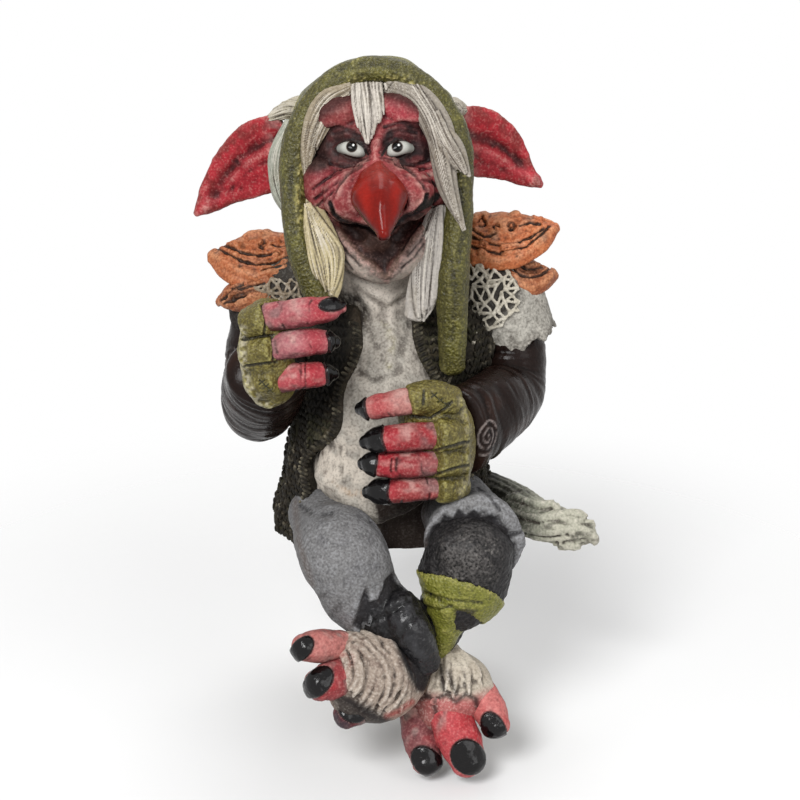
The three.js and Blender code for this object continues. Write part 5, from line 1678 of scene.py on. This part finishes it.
# Hair. White hair in five castings glued round the face: a forelock, a sweep to each side under the hood
# and a long lock beside the chin on each side. Smaller tufts sit on the ears, and one lock shows behind the
# hood.
pale_hair = painted(
    "pale_hair", 0.6, "2f2822", "e6e0d4", (0.95, 0.35), blotch=0.25, pebble=900, bump=0.25, grit=0.2
)
LOCKS = [
    (
        "forelock", "bdb5ab", (1, 0, 0),
        [
            [
                (-7, -21, 197, 6, 2.2), (-7, -31, 191.5, 6.4, 2.2), (-6.8, -42, 182, 4.8, 2.2),
                (-6.6, -46, 173, 0.8, 0.8),
            ]
        ],
        [
            (
                [(-17.6, 126.4), (-16.8, 118.4), (-15.6, 110.4), (-13.2, 101.2)],
                [(-11.2, 126.4), (-10, 119.2), (-10, 111.2), (-12, 100.8)],
                9, 0.75,
            ),
            (
                [(-19.2, 126), (-18.8, 118.4), (-17.2, 111.2), (-16, 107.6)],
                [(-16, 126), (-15.6, 117.6), (-14.8, 111.2), (-15.2, 107.2)],
                5, 0.65,
            ),
            (
                [(-12, 126), (-10, 116.8), (-9.2, 105.2)],
                [(-6.8, 126), (-6.8, 117.6), (-7.6, 107.6)],
                6, 0.65,
            ),
        ],
    ),
    (
        "right_hair_sweep", "948771", (0.7, 0, -0.7),
        [
            [
                (-12, -30, 193, 5, 2.4), (-23, -34, 185, 6, 2.4), (-30, -37, 172, 5, 2.4),
                (-32.5, -40, 157, 0.8),
            ]
        ],
        [
            (
                [(-19.2, 122.8), (-26, 116.8), (-30.8, 108), (-34.4, 99.2), (-36.8, 88.8)],
                [(-20, 127.2), (-30.4, 123.6), (-36.8, 115.2), (-39.2, 103.2), (-38.4, 87.2)],
                16, 0.72,
            ),
            (
                [(-19.2, 121.2), (-25.2, 114.8), (-29.6, 107.6), (-32.8, 101.6)],
                [(-20.8, 123.2), (-28, 117.6), (-32.8, 109.6), (-35.2, 100.8)],
                6, 0.6,
            ),
        ],
    ),
    (
        "left_hair_sweep", "8f877c", (0.7, 0, 0.7),
        [
            [
                (2, -30, 192, 5, 2.4), (14, -36, 187, 6, 2.4), (21.5, -40, 176, 6, 2.4),
                (23, -45, 165, 5, 2.4), (25, -49, 155, 4, 2.2), (31, -54, 140.5, 0.8),
            ],
            [(20, -40, 178, 4, 2.4), (27, -45, 170, 4.5, 2.4), (33, -50, 161, 0.8)],
        ],
        [
            (
                [(-8, 124), (2.4, 119.6), (8.4, 111.2), (12.8, 100), (16.8, 85.6), (24.4, 68.4)],
                [(-5.6, 128), (7.6, 124), (14.8, 114.4), (18.4, 100), (21.2, 84), (25.2, 67.6)],
                14, 0.8,
            ),
            (
                [(11.2, 113.6), (15.2, 104), (20, 96), (26, 88.8)],
                [(15.2, 116), (20, 106.4), (24.4, 98), (28, 88.8)],
                9, 0.75,
            ),
        ],
    ),
    (
        "right_hair_lock", "c0b28a", (1, 0, -0.3),
        [
            [
                (-29.5, -40, 150, 2.4, 2.0), (-26.5, -45, 138, 6.4, 2.4), (-23, -49, 126, 7.2, 2.4),
                (-20.5, -51, 117, 4, 2.2), (-19.6, -51, 111, 0.8),
            ]
        ],
        [
            (
                [(-38.4, 78.4), (-38.8, 68.8), (-38, 56.8), (-34.4, 46.4), (-29.2, 40)],
                [(-36.4, 78.4), (-29.2, 68.8), (-23.2, 60), (-23.6, 51.2), (-27.6, 40)],
                17, 0.85,
            )
        ],
    ),
    (
        "left_hair_lock", "b3ada6", (1, 0, 0.2),
        [
            [
                (22, -40, 145, 4, 2.4), (19, -43, 129, 6.2, 2.4), (15, -44, 113, 6.2, 2.4),
                (11.5, -45, 102, 4, 2.2),
            ]
        ],
        [
            (
                [(12, 76), (8, 67.2), (5.6, 54.4), (5.6, 40), (7.2, 31.2)],
                [(16.4, 77.6), (16.4, 66), (15.2, 52), (13.6, 39.2), (12, 29.6)],
                14, 0.85,
            ),
            ([(9.6, 68), (5.6, 60.8), (4.4, 55.2)], [(12, 67.2), (8, 59.2), (6.4, 53.6)], 4, 0.8),
        ],
    ),
    (
        "right_back_lock", "a7aa9c", (0, 1, 0),
        [
            [
                (-39.2, -12, 173, 3.2, 2.0), (-43.1, -11, 162.8, 5.12, 3.2), (-44.1, -11, 153.7, 5.76, 3.6),
                (-43, -13, 144.2, 5.12, 3.2), (-39.7, -16, 136.1, 1.92, 1.2),
            ]
        ],
        [
            (
                [(-45.6, 109.6), (-51.2, 100.8), (-52.4, 92.8), (-50.4, 83.2), (-45.6, 74)],
                [(-43.2, 108.8), (-45.6, 100), (-46.4, 92), (-45.6, 83.2), (-43.6, 74.8)],
                9, 0.85,
            )
        ],
    ),
    (
        "right_ear_tuft", "b5ad99", (0, 1, 0),
        [[(-28, -2, 180, 4, 3), (-37, 0, 178, 5, 3.4), (-47, 2, 172, 2)]],
        [
            (
                [(-39.2, 119.2), (-47.2, 119.6), (-55.2, 114)],
                [(-39.2, 112.8), (-45.6, 110.8), (-53.6, 110)],
                11, 0.9,
            )
        ],
    ),
    (
        "left_ear_tuft", "b5ad9f", (0, 1, 0),
        [[(24, -2, 179, 4, 3), (29.5, 0, 177.5, 4.6, 3), (33.5, 2, 174, 2)]],
        [
            (
                [(17.6, 120.4), (22.4, 120.8), (25.2, 117.2)],
                [(18.4, 116), (22.4, 114.8), (25.2, 114.8)],
                9, 0.9,
            )
        ],
    ),
]
COMB_STEPS = 48
COMB_TEETH = 13


def combed(piece, edge_a, edge_b):
    """How far along and across a fan drawn in the portrait each point of a piece lies, as two shares."""
    a, b = spline(edge_a, COMB_STEPS), spline(edge_b, COMB_STEPS)
    tree = KDTree(COMB_STEPS * COMB_TEETH)
    for k, (start, end) in enumerate(zip(a, b)):
        for share in np.linspace(0, 1, COMB_TEETH):
            tree.insert((*(start + (end - start) * share), 0), k)
    tree.balance()
    at = piece.portrait()
    row = np.array([tree.find((x, y, 0))[1] for x, y in at])
    wide = b - a
    across = ((at - a[row]) * wide[row]).sum(axis=1) / np.maximum((wide[row] ** 2).sum(axis=1), 1e-6)
    return row / (COMB_STEPS - 1), across


for seed, (name, colour, side, cores, fans) in enumerate(LOCKS):
    nodes = [name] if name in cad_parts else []
    forms = [swell(core, side=side) for core in cores]
    ground = Ground(forms)
    rolls = []
    blunt = 0.55 if name == "left_hair_lock" else 0.2
    for k, (edge_a, edge_b, count, thickness) in enumerate(fans):
        rolls += ground.lock(
            edge_a, edge_b, count, thickness, 200 + 10 * seed + k, lift=0.3 + 0.5 * k, blunt=blunt
        )
    hair = Casting(name, forms + [strands(rolls, pale_hair)], 0.33, soften=1, colour=colour)
    hair.cloud("8c816d", (2, 2, 8), 113, 0.5)
    for edge_a, edge_b, count, thickness in fans:
        along, across = combed(hair, edge_a, edge_b)
        in_fan = ease(3 - 6 * np.abs(across - 0.5))
        streak = grain(np.column_stack([3 * along, 2.4 * count * across, 0 * across]), 1.0, 111 + count)
        hair.push(0.14 * streak * in_fan)
        hair.paint("453a31", 0.8 * ease(-2.2 * streak - 0.5) * in_fan)
        hair.paint("ddd6ca", 0.6 * ease(2.2 * streak - 0.4) * in_fan)
    hair.finish(pale_hair, "white_hair", *nodes, depth=0.22, reach=10)

# Ears. Large pointed ears like leaves, cast in red, scooped in front with a fold that runs to the tip, and
# glued to the head through holes in the hood.
RIGHT_EAR = [
    (-40, -2, 159.9, 15.6, 3.4), (-51, 2, 156, 15.8, 3.4), (-59.6, 5, 149.8, 13.4, 3.4),
    (-67, 7, 143.3, 10, 3.4), (-74, 8, 135.8, 5.6, 3.4), (-79.2, 8, 130.6, 1.4, 3.4),
]
LEFT_EAR = [
    (29.8, -2, 164.1, 14.6, 3.4), (38.1, 2, 161.9, 14.8, 3.4), (46.1, 5, 157.8, 12.6, 3.4),
    (52.6, 7, 152.3, 9.2, 3.4), (58.5, 8, 146.9, 5, 3.4), (64.9, 8, 142.6, 1.4, 3.4),
]
for side, stops, hollow, crease, swelling, root in (
    (
        "right", RIGHT_EAR,
        [
            (-47.2, 111.2), (-55.2, 109.2), (-62.8, 102.8), (-70, 93.2), (-76.4, 81.2), (-75.6, 78.4),
            (-67.2, 81.6), (-55.2, 84), (-47.2, 85.6),
        ],
        [(-46.4, 106.4), (-55.2, 102.4), (-62.4, 97.2), (-69.2, 90), (-74.4, 82.8)],
        [(-47.2, 100.8), (-55.2, 98.4), (-64, 93.6), (-72, 84.8), (-77.2, 77.2)],
        [(-40, 118), (-51.2, 115.2), (-52.8, 106), (-49.6, 96), (-48.8, 82), (-40, 82)],
    ),
    (
        "left", LEFT_EAR,
        [
            (24, 114.4), (31.2, 112.8), (39.2, 108), (45.6, 100), (51.6, 90.8), (50, 88.4), (40, 89.6),
            (29.6, 92),
        ],
        [(24, 107.2), (30.4, 105.6), (37.6, 103.2), (43.6, 99.6), (48, 94.4)],
        [(24.8, 101.6), (32, 100), (40, 96.8), (47.2, 92), (53.6, 87.6)],
        [(20, 120), (26.4, 118.4), (28, 108), (29.6, 100), (30.4, 87.2), (22, 87.2)],
    ),
):
    ear = Casting(side + "_ear", [swell(stops, side=(0, 0, 1))], 0.55, colour="a82b34")
    ear.push(-2.0 * ear.patch(hollow, 3.5) - 1.2 * ear.line(crease, 4.2) + 1.1 * ear.line(swelling, 4.0))
    ear.push(0.22 * ear.grain(2, 121) + 0.4 * ear.grain(7, 122))
    ear.stroke("c0474e", 0.7, 6, swelling, mask=ease(0.8 + ear.grain(3, 123)))
    ear.cloud("b83038", 6, 124, 0.5)
    # Painted shade: a darker band along the ear's fold, as the shade in it.
    ear.stroke("58191b", 0.7, 5.0, crease, mask=ease(0.8 + ear.grain(4, 125)))
    ear.paint("5d3029", 0.6 * (1 - ear.patch(hollow, 3.0)) * ease(0.5 + ear.grain(3, 126)))
    ear.fill("a88580", 0.75, 4, root, mask=ease(0.7 + ear.grain(2.5, 127)))
    ear.finish(red_skin, "red_skin", side + "_ear", depth=0.4)

# Hood. A soft green hood: a thick rolled edge that arches over the face and hangs as two tails, and the cap
# behind it that covers the back of the head. Both are castings with a fine pebbled skin, brushed yellow on
# the high spots.
ARCH_LEFT = 34.4
ARCH_RIGHT = 32.4
ARCH_RISE = 38.4
ARCH_FORWARD = 24
ARCH_LEAN = 10
ROLL_RADIUS = 5.2
TAIL_RADIUS = 6.0


def arch(degrees):
    """A place on the hood's edge, by its angle round the face from the left side over the top."""
    c, s = math.cos(math.radians(degrees)), math.sin(math.radians(degrees))
    x = HEAD[0] + (ARCH_LEFT if c > 0 else ARCH_RIGHT) * c
    return x, HEAD[1] - ARCH_FORWARD + ARCH_LEAN * max(0, s), HEAD[2] + ARCH_RISE * s


left_top, right_top = np.array(arch(-6)), np.array(arch(186))
HOOD_ROLL = [
    (*(left_top + (-3, -5, -75)), TAIL_RADIUS - 0.6),
    (*(left_top + (-3, -6, -37.5)), TAIL_RADIUS + 0.6),
    *[(*arch(d), ROLL_RADIUS) for d in (-6, 20, 45, 70, 90, 110, 135, 160, 186)],
    (*(right_top + (2, -7, -23)), TAIL_RADIUS - 0.8),
    (*(right_top + (10, -11, -46)), TAIL_RADIUS - 0.6),
]
roll = Casting("hood_roll", [swell(HOOD_ROLL, side=(0, -1, 0.3))], 0.62, colour="47431a")
along = span(roll.co, [stop[:3] for stop in HOOD_ROLL])
twist = np.column_stack([along, roll.co[:, 0] - roll.co[:, 1], roll.co[:, 2]])
roll.push(0.35 * grain(twist, (26, 5, 26), 131) + 0.3 * roll.grain(6, 132) + 0.16 * roll.grain(1.6, 133))
roll.push(
    -0.5 * roll.lines(
        2.6,
        [(-43.2, 92.8), (-44, 80), (-42.4, 67.2)],
        [(20.8, 55.2), (22.4, 40), (20.8, 24)],
        [(-24, 132.8), (-13.6, 134.8), (-1.6, 133.6)],
        [(24.8, 84), (25.6, 68), (23.2, 55.2)],
    )
)
roll.paint("69662c", ease(grain(twist, (18, 5, 9), 134)) * 0.5)
roll.paint("3f3b16", ease(grain(twist, (26, 7, 12), 135)) * 0.6)
INNER_RIM = [
    (-38.4, 68), (-38.8, 84), (-37.6, 104), (-31.2, 118.4), (-20, 126.4), (-9.6, 128), (1.6, 126.4),
    (12, 118.4), (20.8, 104), (24.8, 88.8),
]
# Painted highlight: pale specks along the inner rim, on the side facing the viewpoint, and scattered over
# the roll, as glints of light.
inner_rim_glints = ease(1 - np.abs(distance(roll.portrait(), INNER_RIM) - 1.4) / 2.6)
roll.paint("b3a86a", 0.9 * inner_rim_glints * roll.facing() * ease(roll.grain(1.0, 137) * 3.5 - 0.7))
roll.paint("8d8450", 0.5 * ease(roll.grain(0.8, 136) * 4 - 2.3))
roll.paint("1f1d0b", 0.5 * ease(roll.grain(0.9, 138) * 4 - 2.2))
# Painted shade: the front of the roll is darker where it turns away from the viewpoint.
roll.paint("1b1a0b", 0.8 * ease(0.28 - roll.no @ TOWARD) * (roll.co[:, 1] < -20))
roll.finish(olive_cloth, "green_cloth", "hood_roll", depth=0.3)

cap = Casting("hood_cap", [mesh_form(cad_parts["hood_cap"].data)], 1.1, soften=26, colour="565320")
cap.push(
    0.6 + 0.9 * cap.grain((14, 14, 30), 141) + 0.5 * cap.grain((7, 7, 16), 142) + 0.2 * cap.grain(2, 143)
)
back_folds = np.abs(np.sin(cap.co[:, 0] * 0.22 + 2.2 * cap.grain(26, 144)))
cap.push(-1.2 * ease((back_folds - 0.82) / 0.18) * ease((cap.co[:, 1] - 5) / 10))
cap.cloud("6d6a34", 6, 145, 0.5)
cap.cloud("3d3f16", 10, 146, 0.6)
cap.finish(olive_cloth, "green_cloth", "hood_cap", depth=0.4)

# Lace. A torn net of stiffened white lace over each shoulder. Its threads run from knot to knot over the
# sleeve in an uneven mesh.
white_lace = painted(
    "white_lace", 0.62, "2e2822", "e9e3d6", (0.7, 0.4), blotch=0.3, pebble=900, bump=0.25, grit=0.35
)


def net(ground, outline, pitch, seed, material):
    """Threads of an uneven mesh within an outline drawn in the portrait, laid on the ground."""
    rng = np.random.default_rng(seed)
    low, high = np.min(outline, axis=0), np.max(outline, axis=0)
    knots = {}
    for row in range(int((high[1] - low[1]) / pitch * 1.3) + 2):
        for column in range(int((high[0] - low[0]) / pitch) + 2):
            x = low[0] + (column + 0.5 * (row % 2)) * pitch + rng.uniform(-0.28, 0.28) * pitch
            y = low[1] + row * pitch * 0.78 + rng.uniform(-0.28, 0.28) * pitch
            knots[row, column] = np.array([x, y])
    kept = dict(zip(knots, within(np.array(list(knots.values())), outline, 1.0) > 0.4))
    runs = []
    for (row, column), at in knots.items():
        shift = row % 2
        for other in ((row, column + 1), (row + 1, column + shift), (row + 1, column + shift - 1)):
            share = 0.45 if other[0] == row else 0.92
            if other in knots and kept[row, column] and kept[other] and rng.uniform() < share:
                path = np.linspace(at, knots[other], 5) + rng.uniform(-0.3, 0.3, (5, 2)) * 0.6
                thread = rng.uniform(0.55, 0.85) * np.array([1.3, 0.95, 0.85, 0.95, 1.3])
                runs.append((ground.under(path, 0.45 + rng.uniform(0, 0.3)), thread))
    return strands(runs, material, 7)


# The right lace is given a darker colour and a larger share of dark clouds as painted shade, as it lies
# under the fungi and beside the hood.
for side, stops, outline, seed, colour, pale, dark in (
    (
        "left", LEFT_SLEEVE,
        [
            (26.4, 59.2), (34.4, 59.2), (42.4, 52.8), (48.8, 44), (47.2, 35.2), (40, 29.6), (33.6, 25.6),
            (28.8, 20), (26.4, 28),
        ],
        301, "bdb6a6", 0.7, 0.5,
    ),
    (
        "right", RIGHT_SLEEVE,
        [
            (-61.6, 43.2), (-55.2, 48), (-46.4, 49.6), (-38.4, 46.4), (-36.8, 35.2), (-45.6, 32.8),
            (-55.2, 35.2),
        ],
        302, "8d7d69", 0.3, 0.8,
    ),
):
    shoulder = Ground(
        [swell(stops, domes=(0.5, 0.05)), swell(TRUNK, square=TRUNK_SQUARE, domes=(0, 0.3), grow=5)]
    )
    threads = net(shoulder, outline, 4.0, seed, white_lace)
    lace = Casting(side + "_lace", [threads], 0.32, soften=1, colour=colour)
    lace.push(0.18 * lace.grain(1.1, 151))
    lace.cloud("dad4c6", 3, 152, pale)
    # The dark clouds are random tone on the left lace; on the right one they are mostly painted shade.
    lace.cloud("6f6755", 2, 153, dark)
    lace.finish(white_lace, "white_lace", side + "_lace", depth=0.25, reach=6)

# Fungi. Two bracket fungi grow from each shoulder, cast in orange and glued on. Their tops are lumpy and
# pitted, the growth lines are cut deep, and the outer rim is smooth and rounded.
fungus_skin = painted(
    "fungus_skin", 0.5, "1f130d", "dda279", (0.9, 0.45), blotch=0.45, pebble=800, bump=0.35, grit=0.45
)


def bracket(root, reach, rise, half):
    """A bracket fungus from its root outwards, with its half width."""
    x, y, z = root
    shape = ((0, 0, 0, 0.88, 5), (0.36, -2, 0.1, 1, 5), (0.73, -1, 0.5, 0.68, 4), (1, 2, 1, 0.16, 1.8))
    return swell(
        [(x + reach * a, y + b, z + rise * c, half * d, e) for a, b, c, d, e in shape],
        side=(0, -0.69, -0.73),
    )


FUNGI = [
    (
        "left_upper_fungus", bracket((38, -4, 122), 33, 5, 13.5),
        [(26.8, 60), (32.8, 57.2), (39.2, 55.6), (44.8, 56.4), (50.4, 58.8), (56.4, 63.2), (60.8, 68)],
        [
            [(25.6, 62.4), (32.8, 60), (39.2, 58.4), (44.8, 59.2), (50.4, 61.2), (56, 65.6), (59.6, 69.2)],
            [(28, 65.6), (34.4, 62.8), (40, 61.6), (46.4, 62.4), (52.8, 65.2), (57.2, 68.4)],
            [(28, 68.4), (33.6, 65.2), (38.4, 66)],
            [(48, 69.6), (52, 70.8), (56, 70.4)],
        ],
        [(38.4, 68.8), (44.4, 69.6), (32.8, 71.2)],
        [],
    ),
    (
        "left_lower_fungus", bracket((46, -8, 107), 25, 0, 9.5),
        [(44, 50.4), (48.8, 46.4), (52.8, 45.2), (57.6, 47.2), (61.2, 50.8)],
        [
            [(43.2, 53.6), (48, 50), (52, 48.8), (56.4, 50), (60.4, 52.8)],
            [(45.6, 55.2), (50.4, 52.8), (55.2, 52.8), (58.8, 54.4)],
        ],
        [],
        [(48, 52), (52, 53.6), (57.6, 53.2), (55.2, 50.4), (51.2, 50)],
    ),
    (
        "right_upper_fungus", bracket((-40, -4, 113), -33, 1, 15),
        [(-75.2, 58.4), (-70.4, 55.2), (-64.8, 52), (-58.4, 50), (-52, 50.8), (-46.4, 52.8)],
        [
            [(-73.6, 60.8), (-68, 58), (-63.2, 55.6), (-57.6, 54), (-50.8, 54.4), (-43.2, 56.8)],
            [(-71.2, 62.4), (-64, 59.2), (-56.8, 57.6), (-49.6, 58.4)],
            [(-55.2, 51.2), (-49.6, 52.8), (-44, 53.6)],
            [(-51.2, 61.6), (-47.2, 60.8), (-44, 61.6)],
        ],
        [(-54.8, 62.4)],
        [],
    ),
    (
        "right_lower_fungus", bracket((-44, -13, 103), -25, -5, 9.5),
        [(-71.6, 38.4), (-65.6, 38), (-60, 39.6), (-54.4, 41.2)],
        [
            [(-71.2, 40), (-66.4, 43.6), (-60.8, 45.2), (-54.4, 46.4)],
            [(-69.6, 38.8), (-64, 40.8), (-57.6, 42.4)],
            [(-67.2, 44), (-61.6, 46.8)],
        ],
        [],
        [
            (-69.2, 40), (-65.6, 42.8), (-60, 44.4), (-53.6, 45.2), (-55.2, 42.4), (-61.6, 41.2),
            (-66.4, 39.6),
        ],
    ),
]
for name, form, rim, growth, holes, hollow in FUNGI:
    fungus = Casting(name, [form], 0.45, colour="b9673f")
    cut = fungus.lines(1.0, *growth)
    holed = [fungus.patch(oval(at, 1.6, 1.8), 0.7) for at in holes]
    pits = sum(holed, np.zeros(len(fungus.co))) * ease(0.75 + 1.2 * fungus.grain(1.8, 168))
    inner = ease(1.4 * fungus.lines(6, *growth))
    deep = fungus.patch(hollow, 1.2) if hollow else np.zeros(len(fungus.co))
    fungus.push(
        -1.2 * cut
        + 0.5 * fungus.lines(2.6, *growth)
        - 2.2 * pits
        - 1.2 * deep
        + 0.9 * fungus.line(rim, 3.0)
    )
    fungus.push(
        (0.5 * fungus.grain(3, 161) + 0.35 * fungus.grain(1.5, 162)) * (0.35 + 0.65 * inner)
        + 1.3 * ease(fungus.grain(4.5, 163) * 2) * ease((fungus.no[:, 2] - 0.3) * 2)
    )
    fungus.cloud("a4502f", 5, 164, 0.6)
    fungus.cloud("cf8152", 4, 165, 0.5)
    fungus.paint("8b7666", 0.7 * ease(fungus.grain(5, 166)) * inner)
    fungus.paint("7a4a32", {"left_upper_fungus": 0.0, "right_upper_fungus": 0.25}.get(name, 0.55))
    fungus.paint(
        "d59c78", 0.6 * (1 - inner) * ease(fungus.no[:, 2] * 1.2) * ease(0.6 + fungus.grain(2, 167))
    )
    fungus.stroke("cf9068", 0.6, 2.4, rim, mask=ease(0.7 + fungus.grain(2.5, 169)))
    fungus.paint("2a1b13", 0.75 * deep)
    # Dark wash in the growth lines and the pits, and painted shade where the fungus turns away from the
    # viewpoint.
    fungus.paint("1d120d", ease(cut * 1.4) * 0.9 + pits + 0.8 * ease(0.3 - fungus.no @ TOWARD))
    fungus.finish(fungus_skin, "orange_fungus", name, depth=0.4)

# Tail. A furry tail comes out under the vest at the left hip, lies on the ledge and ends in a pale tuft
# with curled tips. It is one casting, flat below where it rests.
TAIL = [
    (38, 2, 9, 8, 8), (54, -16, 9, 8, 8), (63, -34, 9.5, 8.6, 8), (76, -42, 8.5, 7.5, 6),
    (86, -44, 6.5, 3, 2.4),
]
CURL_STEPS = 26
RIDGE_STEPS = 16
tail_core = [swell(TAIL, side=(0, 0, 1))]
ground = Ground(tail_core)
rolls = ground.lock(
    [(43.2, -37.6), (55.2, -41.6), (66.4, -41.6), (74.4, -43.2), (76.8, -46.4)],
    [(45.6, -58), (58, -59.6), (68, -58.8), (75.2, -57.2), (77.6, -56)],
    9, 1.3, 401, lift=0.3, ragged=0.3, blunt=0.3,
)
curls = [
    [
        (45.6, -38.8), (56, -42.4), (67.2, -41.2), (73.6, -41.6), (77.2, -44.4), (77.6, -47.6),
        (75.2, -48.8), (73.6, -47.2),
    ],
    [(45.6, -44), (56.8, -47.2), (67.2, -46), (73.6, -47.6), (76, -50.4), (74.4, -52.4)],
    [(46.4, -49.6), (58, -52.4), (68, -51.2), (74.4, -52.4), (77.6, -55.6), (77.2, -58.4), (74.8, -58.4)],
    [(47.2, -55.2), (58.4, -58), (68, -57.2), (73.6, -58), (76.4, -59.6)],
]
curl_size = np.interp(np.linspace(0, 1, CURL_STEPS), (0, 0.6, 0.85, 1), (1.6, 2.6, 1.7, 0.8))
rolls += [(ground.under(spline(path, CURL_STEPS), 0.9), curl_size) for path in curls]
back = spline(TAIL, RIDGE_STEPS)
bow = unit(np.gradient(back[:, :3], axis=0))
for angle in np.linspace(0.2, math.pi - 0.2, 9):
    out = unit(np.cross(bow, [0, 0, 1.0])) * -math.cos(angle) + np.array([0, 0, 1.0]) * math.sin(angle)
    rolls.append((back[:, :3] + out * (back[:, 4:] - 0.4), np.linspace(1.7, 0.7, RIDGE_STEPS)))
tail = Casting("tail", tail_core + [strands(rolls, pale_fur)], 0.48, soften=2, colour="9a9d8c")
tail.push(0.2 * tail.grain(2, 171))
tip = ease((tail.co[:, 0] - 56) / 16)
tail.paint("b7b4a3", tip * 0.8)
tail.paint("3a3b32", (1 - tip) * 0.8 * ease(0.5 + tail.grain(4, 172)))
# Painted shade: the root of the tail, under the vest, is painted near-black.
tail.paint("191815", 0.9 * ease((56 - tail.co[:, 0]) / 10))
tail.paint("2b2a22", 0.6 * ease(tail.grain((6, 2, 2), 173) * 2.4 - 0.7))
tail.rest_on_ledge()
tail.finish(pale_fur, "pale_fur", "tail", depth=0.4)

# Pins. Plain steel pins join the castings at the neck, the ears, the shoulders, the hips and the ankles.
# They are sealed inside, so they stay as they are and only take a brushed steel finish.
brushed_steel = bpy.data.materials.new("brushed_steel")
brushed_steel.use_nodes = True
tree = brushed_steel.node_tree
place = node(tree, "TexCoord").outputs["Object"]
drawn = node(tree, "Mapping", {"Vector": place, "Scale": (900, 900, 60)}).outputs[0]
streak = node(tree, "TexNoise", {"Vector": drawn, "Scale": 1.0, "Detail": 3}).outputs[0]
shaded = colour_mix(tree, "MIX", streak, (*ink("8d8f92"), 1), (*ink("c9cbcd"), 1))
rough = remap(tree, streak, (0.0, 1.0), (0.25, 0.45))
feed(tree, tree.nodes["Principled BSDF"], {"Base Color": shaded, "Roughness": rough, "Metallic": 0.9})
for name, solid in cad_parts.items():
    if name.endswith("_pin"):
        solid.data.materials.clear()
        solid.data.materials.append(brushed_steel)

# Stage. A plain white floor below the hanging feet, a white surround for the camera, soft lamps in front
# and above, and the camera in front of the figure and twenty degrees above it.
FLOOR_HEIGHT = -0.0795
LAMP_AIM = Vector((0, -0.03, 0.06))
SENSOR_WIDTH = 36
FOCUS_SHARE = 2097 / 800
bpy.ops.mesh.primitive_plane_add(size=6, location=(0, 0, FLOOR_HEIGHT))
floor = bpy.context.object
floor.name = "studio_floor"
plain = bpy.data.materials.new("studio_white")
plain.use_nodes = True
tree = plain.node_tree
place = node(tree, "TexCoord").outputs["Object"]
from_middle = node(tree, "VectorMath", {0: place}, operation="LENGTH").outputs["Value"]
fade = remap(tree, from_middle, (0.1, 0.34), (1.0, 0.0), interpolation_type="SMOOTHSTEP")
matt = {"Base Color": (0.92, 0.92, 0.92, 1), "Roughness": 0.9, "Specular IOR Level": 0.0, "Alpha": fade}
feed(tree, tree.nodes["Principled BSDF"], matt)
floor.data.materials.append(plain)

world = bpy.data.worlds.new("studio_surround")
scene.world = world
world.use_nodes = True
air = world.node_tree
ray = node(air, "LightPath")
straight = value(air, "MAXIMUM", ray.outputs["Is Camera Ray"], ray.outputs["Is Glossy Ray"])
straight = value(air, "MAXIMUM", straight, ray.outputs["Is Transmission Ray"])
strength = remap(air, straight, (0.0, 1.0), (0.35, 1.0))
feed(air, air.nodes["Background"], {"Color": WHITE, "Strength": strength})

for name, at, size, power in (
    ("key_lamp", (-0.4, -1.05, 0.85), 0.5, 15.0),
    ("fill_lamp", (0.75, -0.95, 0.45), 0.8, 5.0),
    ("top_lamp", (0.1, 0.5, 1.2), 0.7, 5.0),
):
    light = bpy.data.lights.new(name, "AREA")
    light.size = size
    light.energy = power
    lamp = bpy.data.objects.new(name, light)
    lamp.location = at
    lamp.rotation_euler = (LAMP_AIM - Vector(at)).to_track_quat("-Z", "Y").to_euler()
    scene.collection.objects.link(lamp)

target = Vector(VIEWPOINT_TARGET / 1000)
lens = bpy.data.cameras.new("portrait_camera")
lens.sensor_width = SENSOR_WIDTH
lens.lens = SENSOR_WIDTH * FOCUS_SHARE
camera = bpy.data.objects.new("portrait_camera", lens)
camera.location = target + Vector(TOWARD * VIEWPOINT_DISTANCE / 1000)
camera.rotation_euler = (target - camera.location).to_track_quat("-Z", "Y").to_euler()
scene.collection.objects.link(camera)
scene.camera = camera
scene.view_settings.view_transform = "Standard"
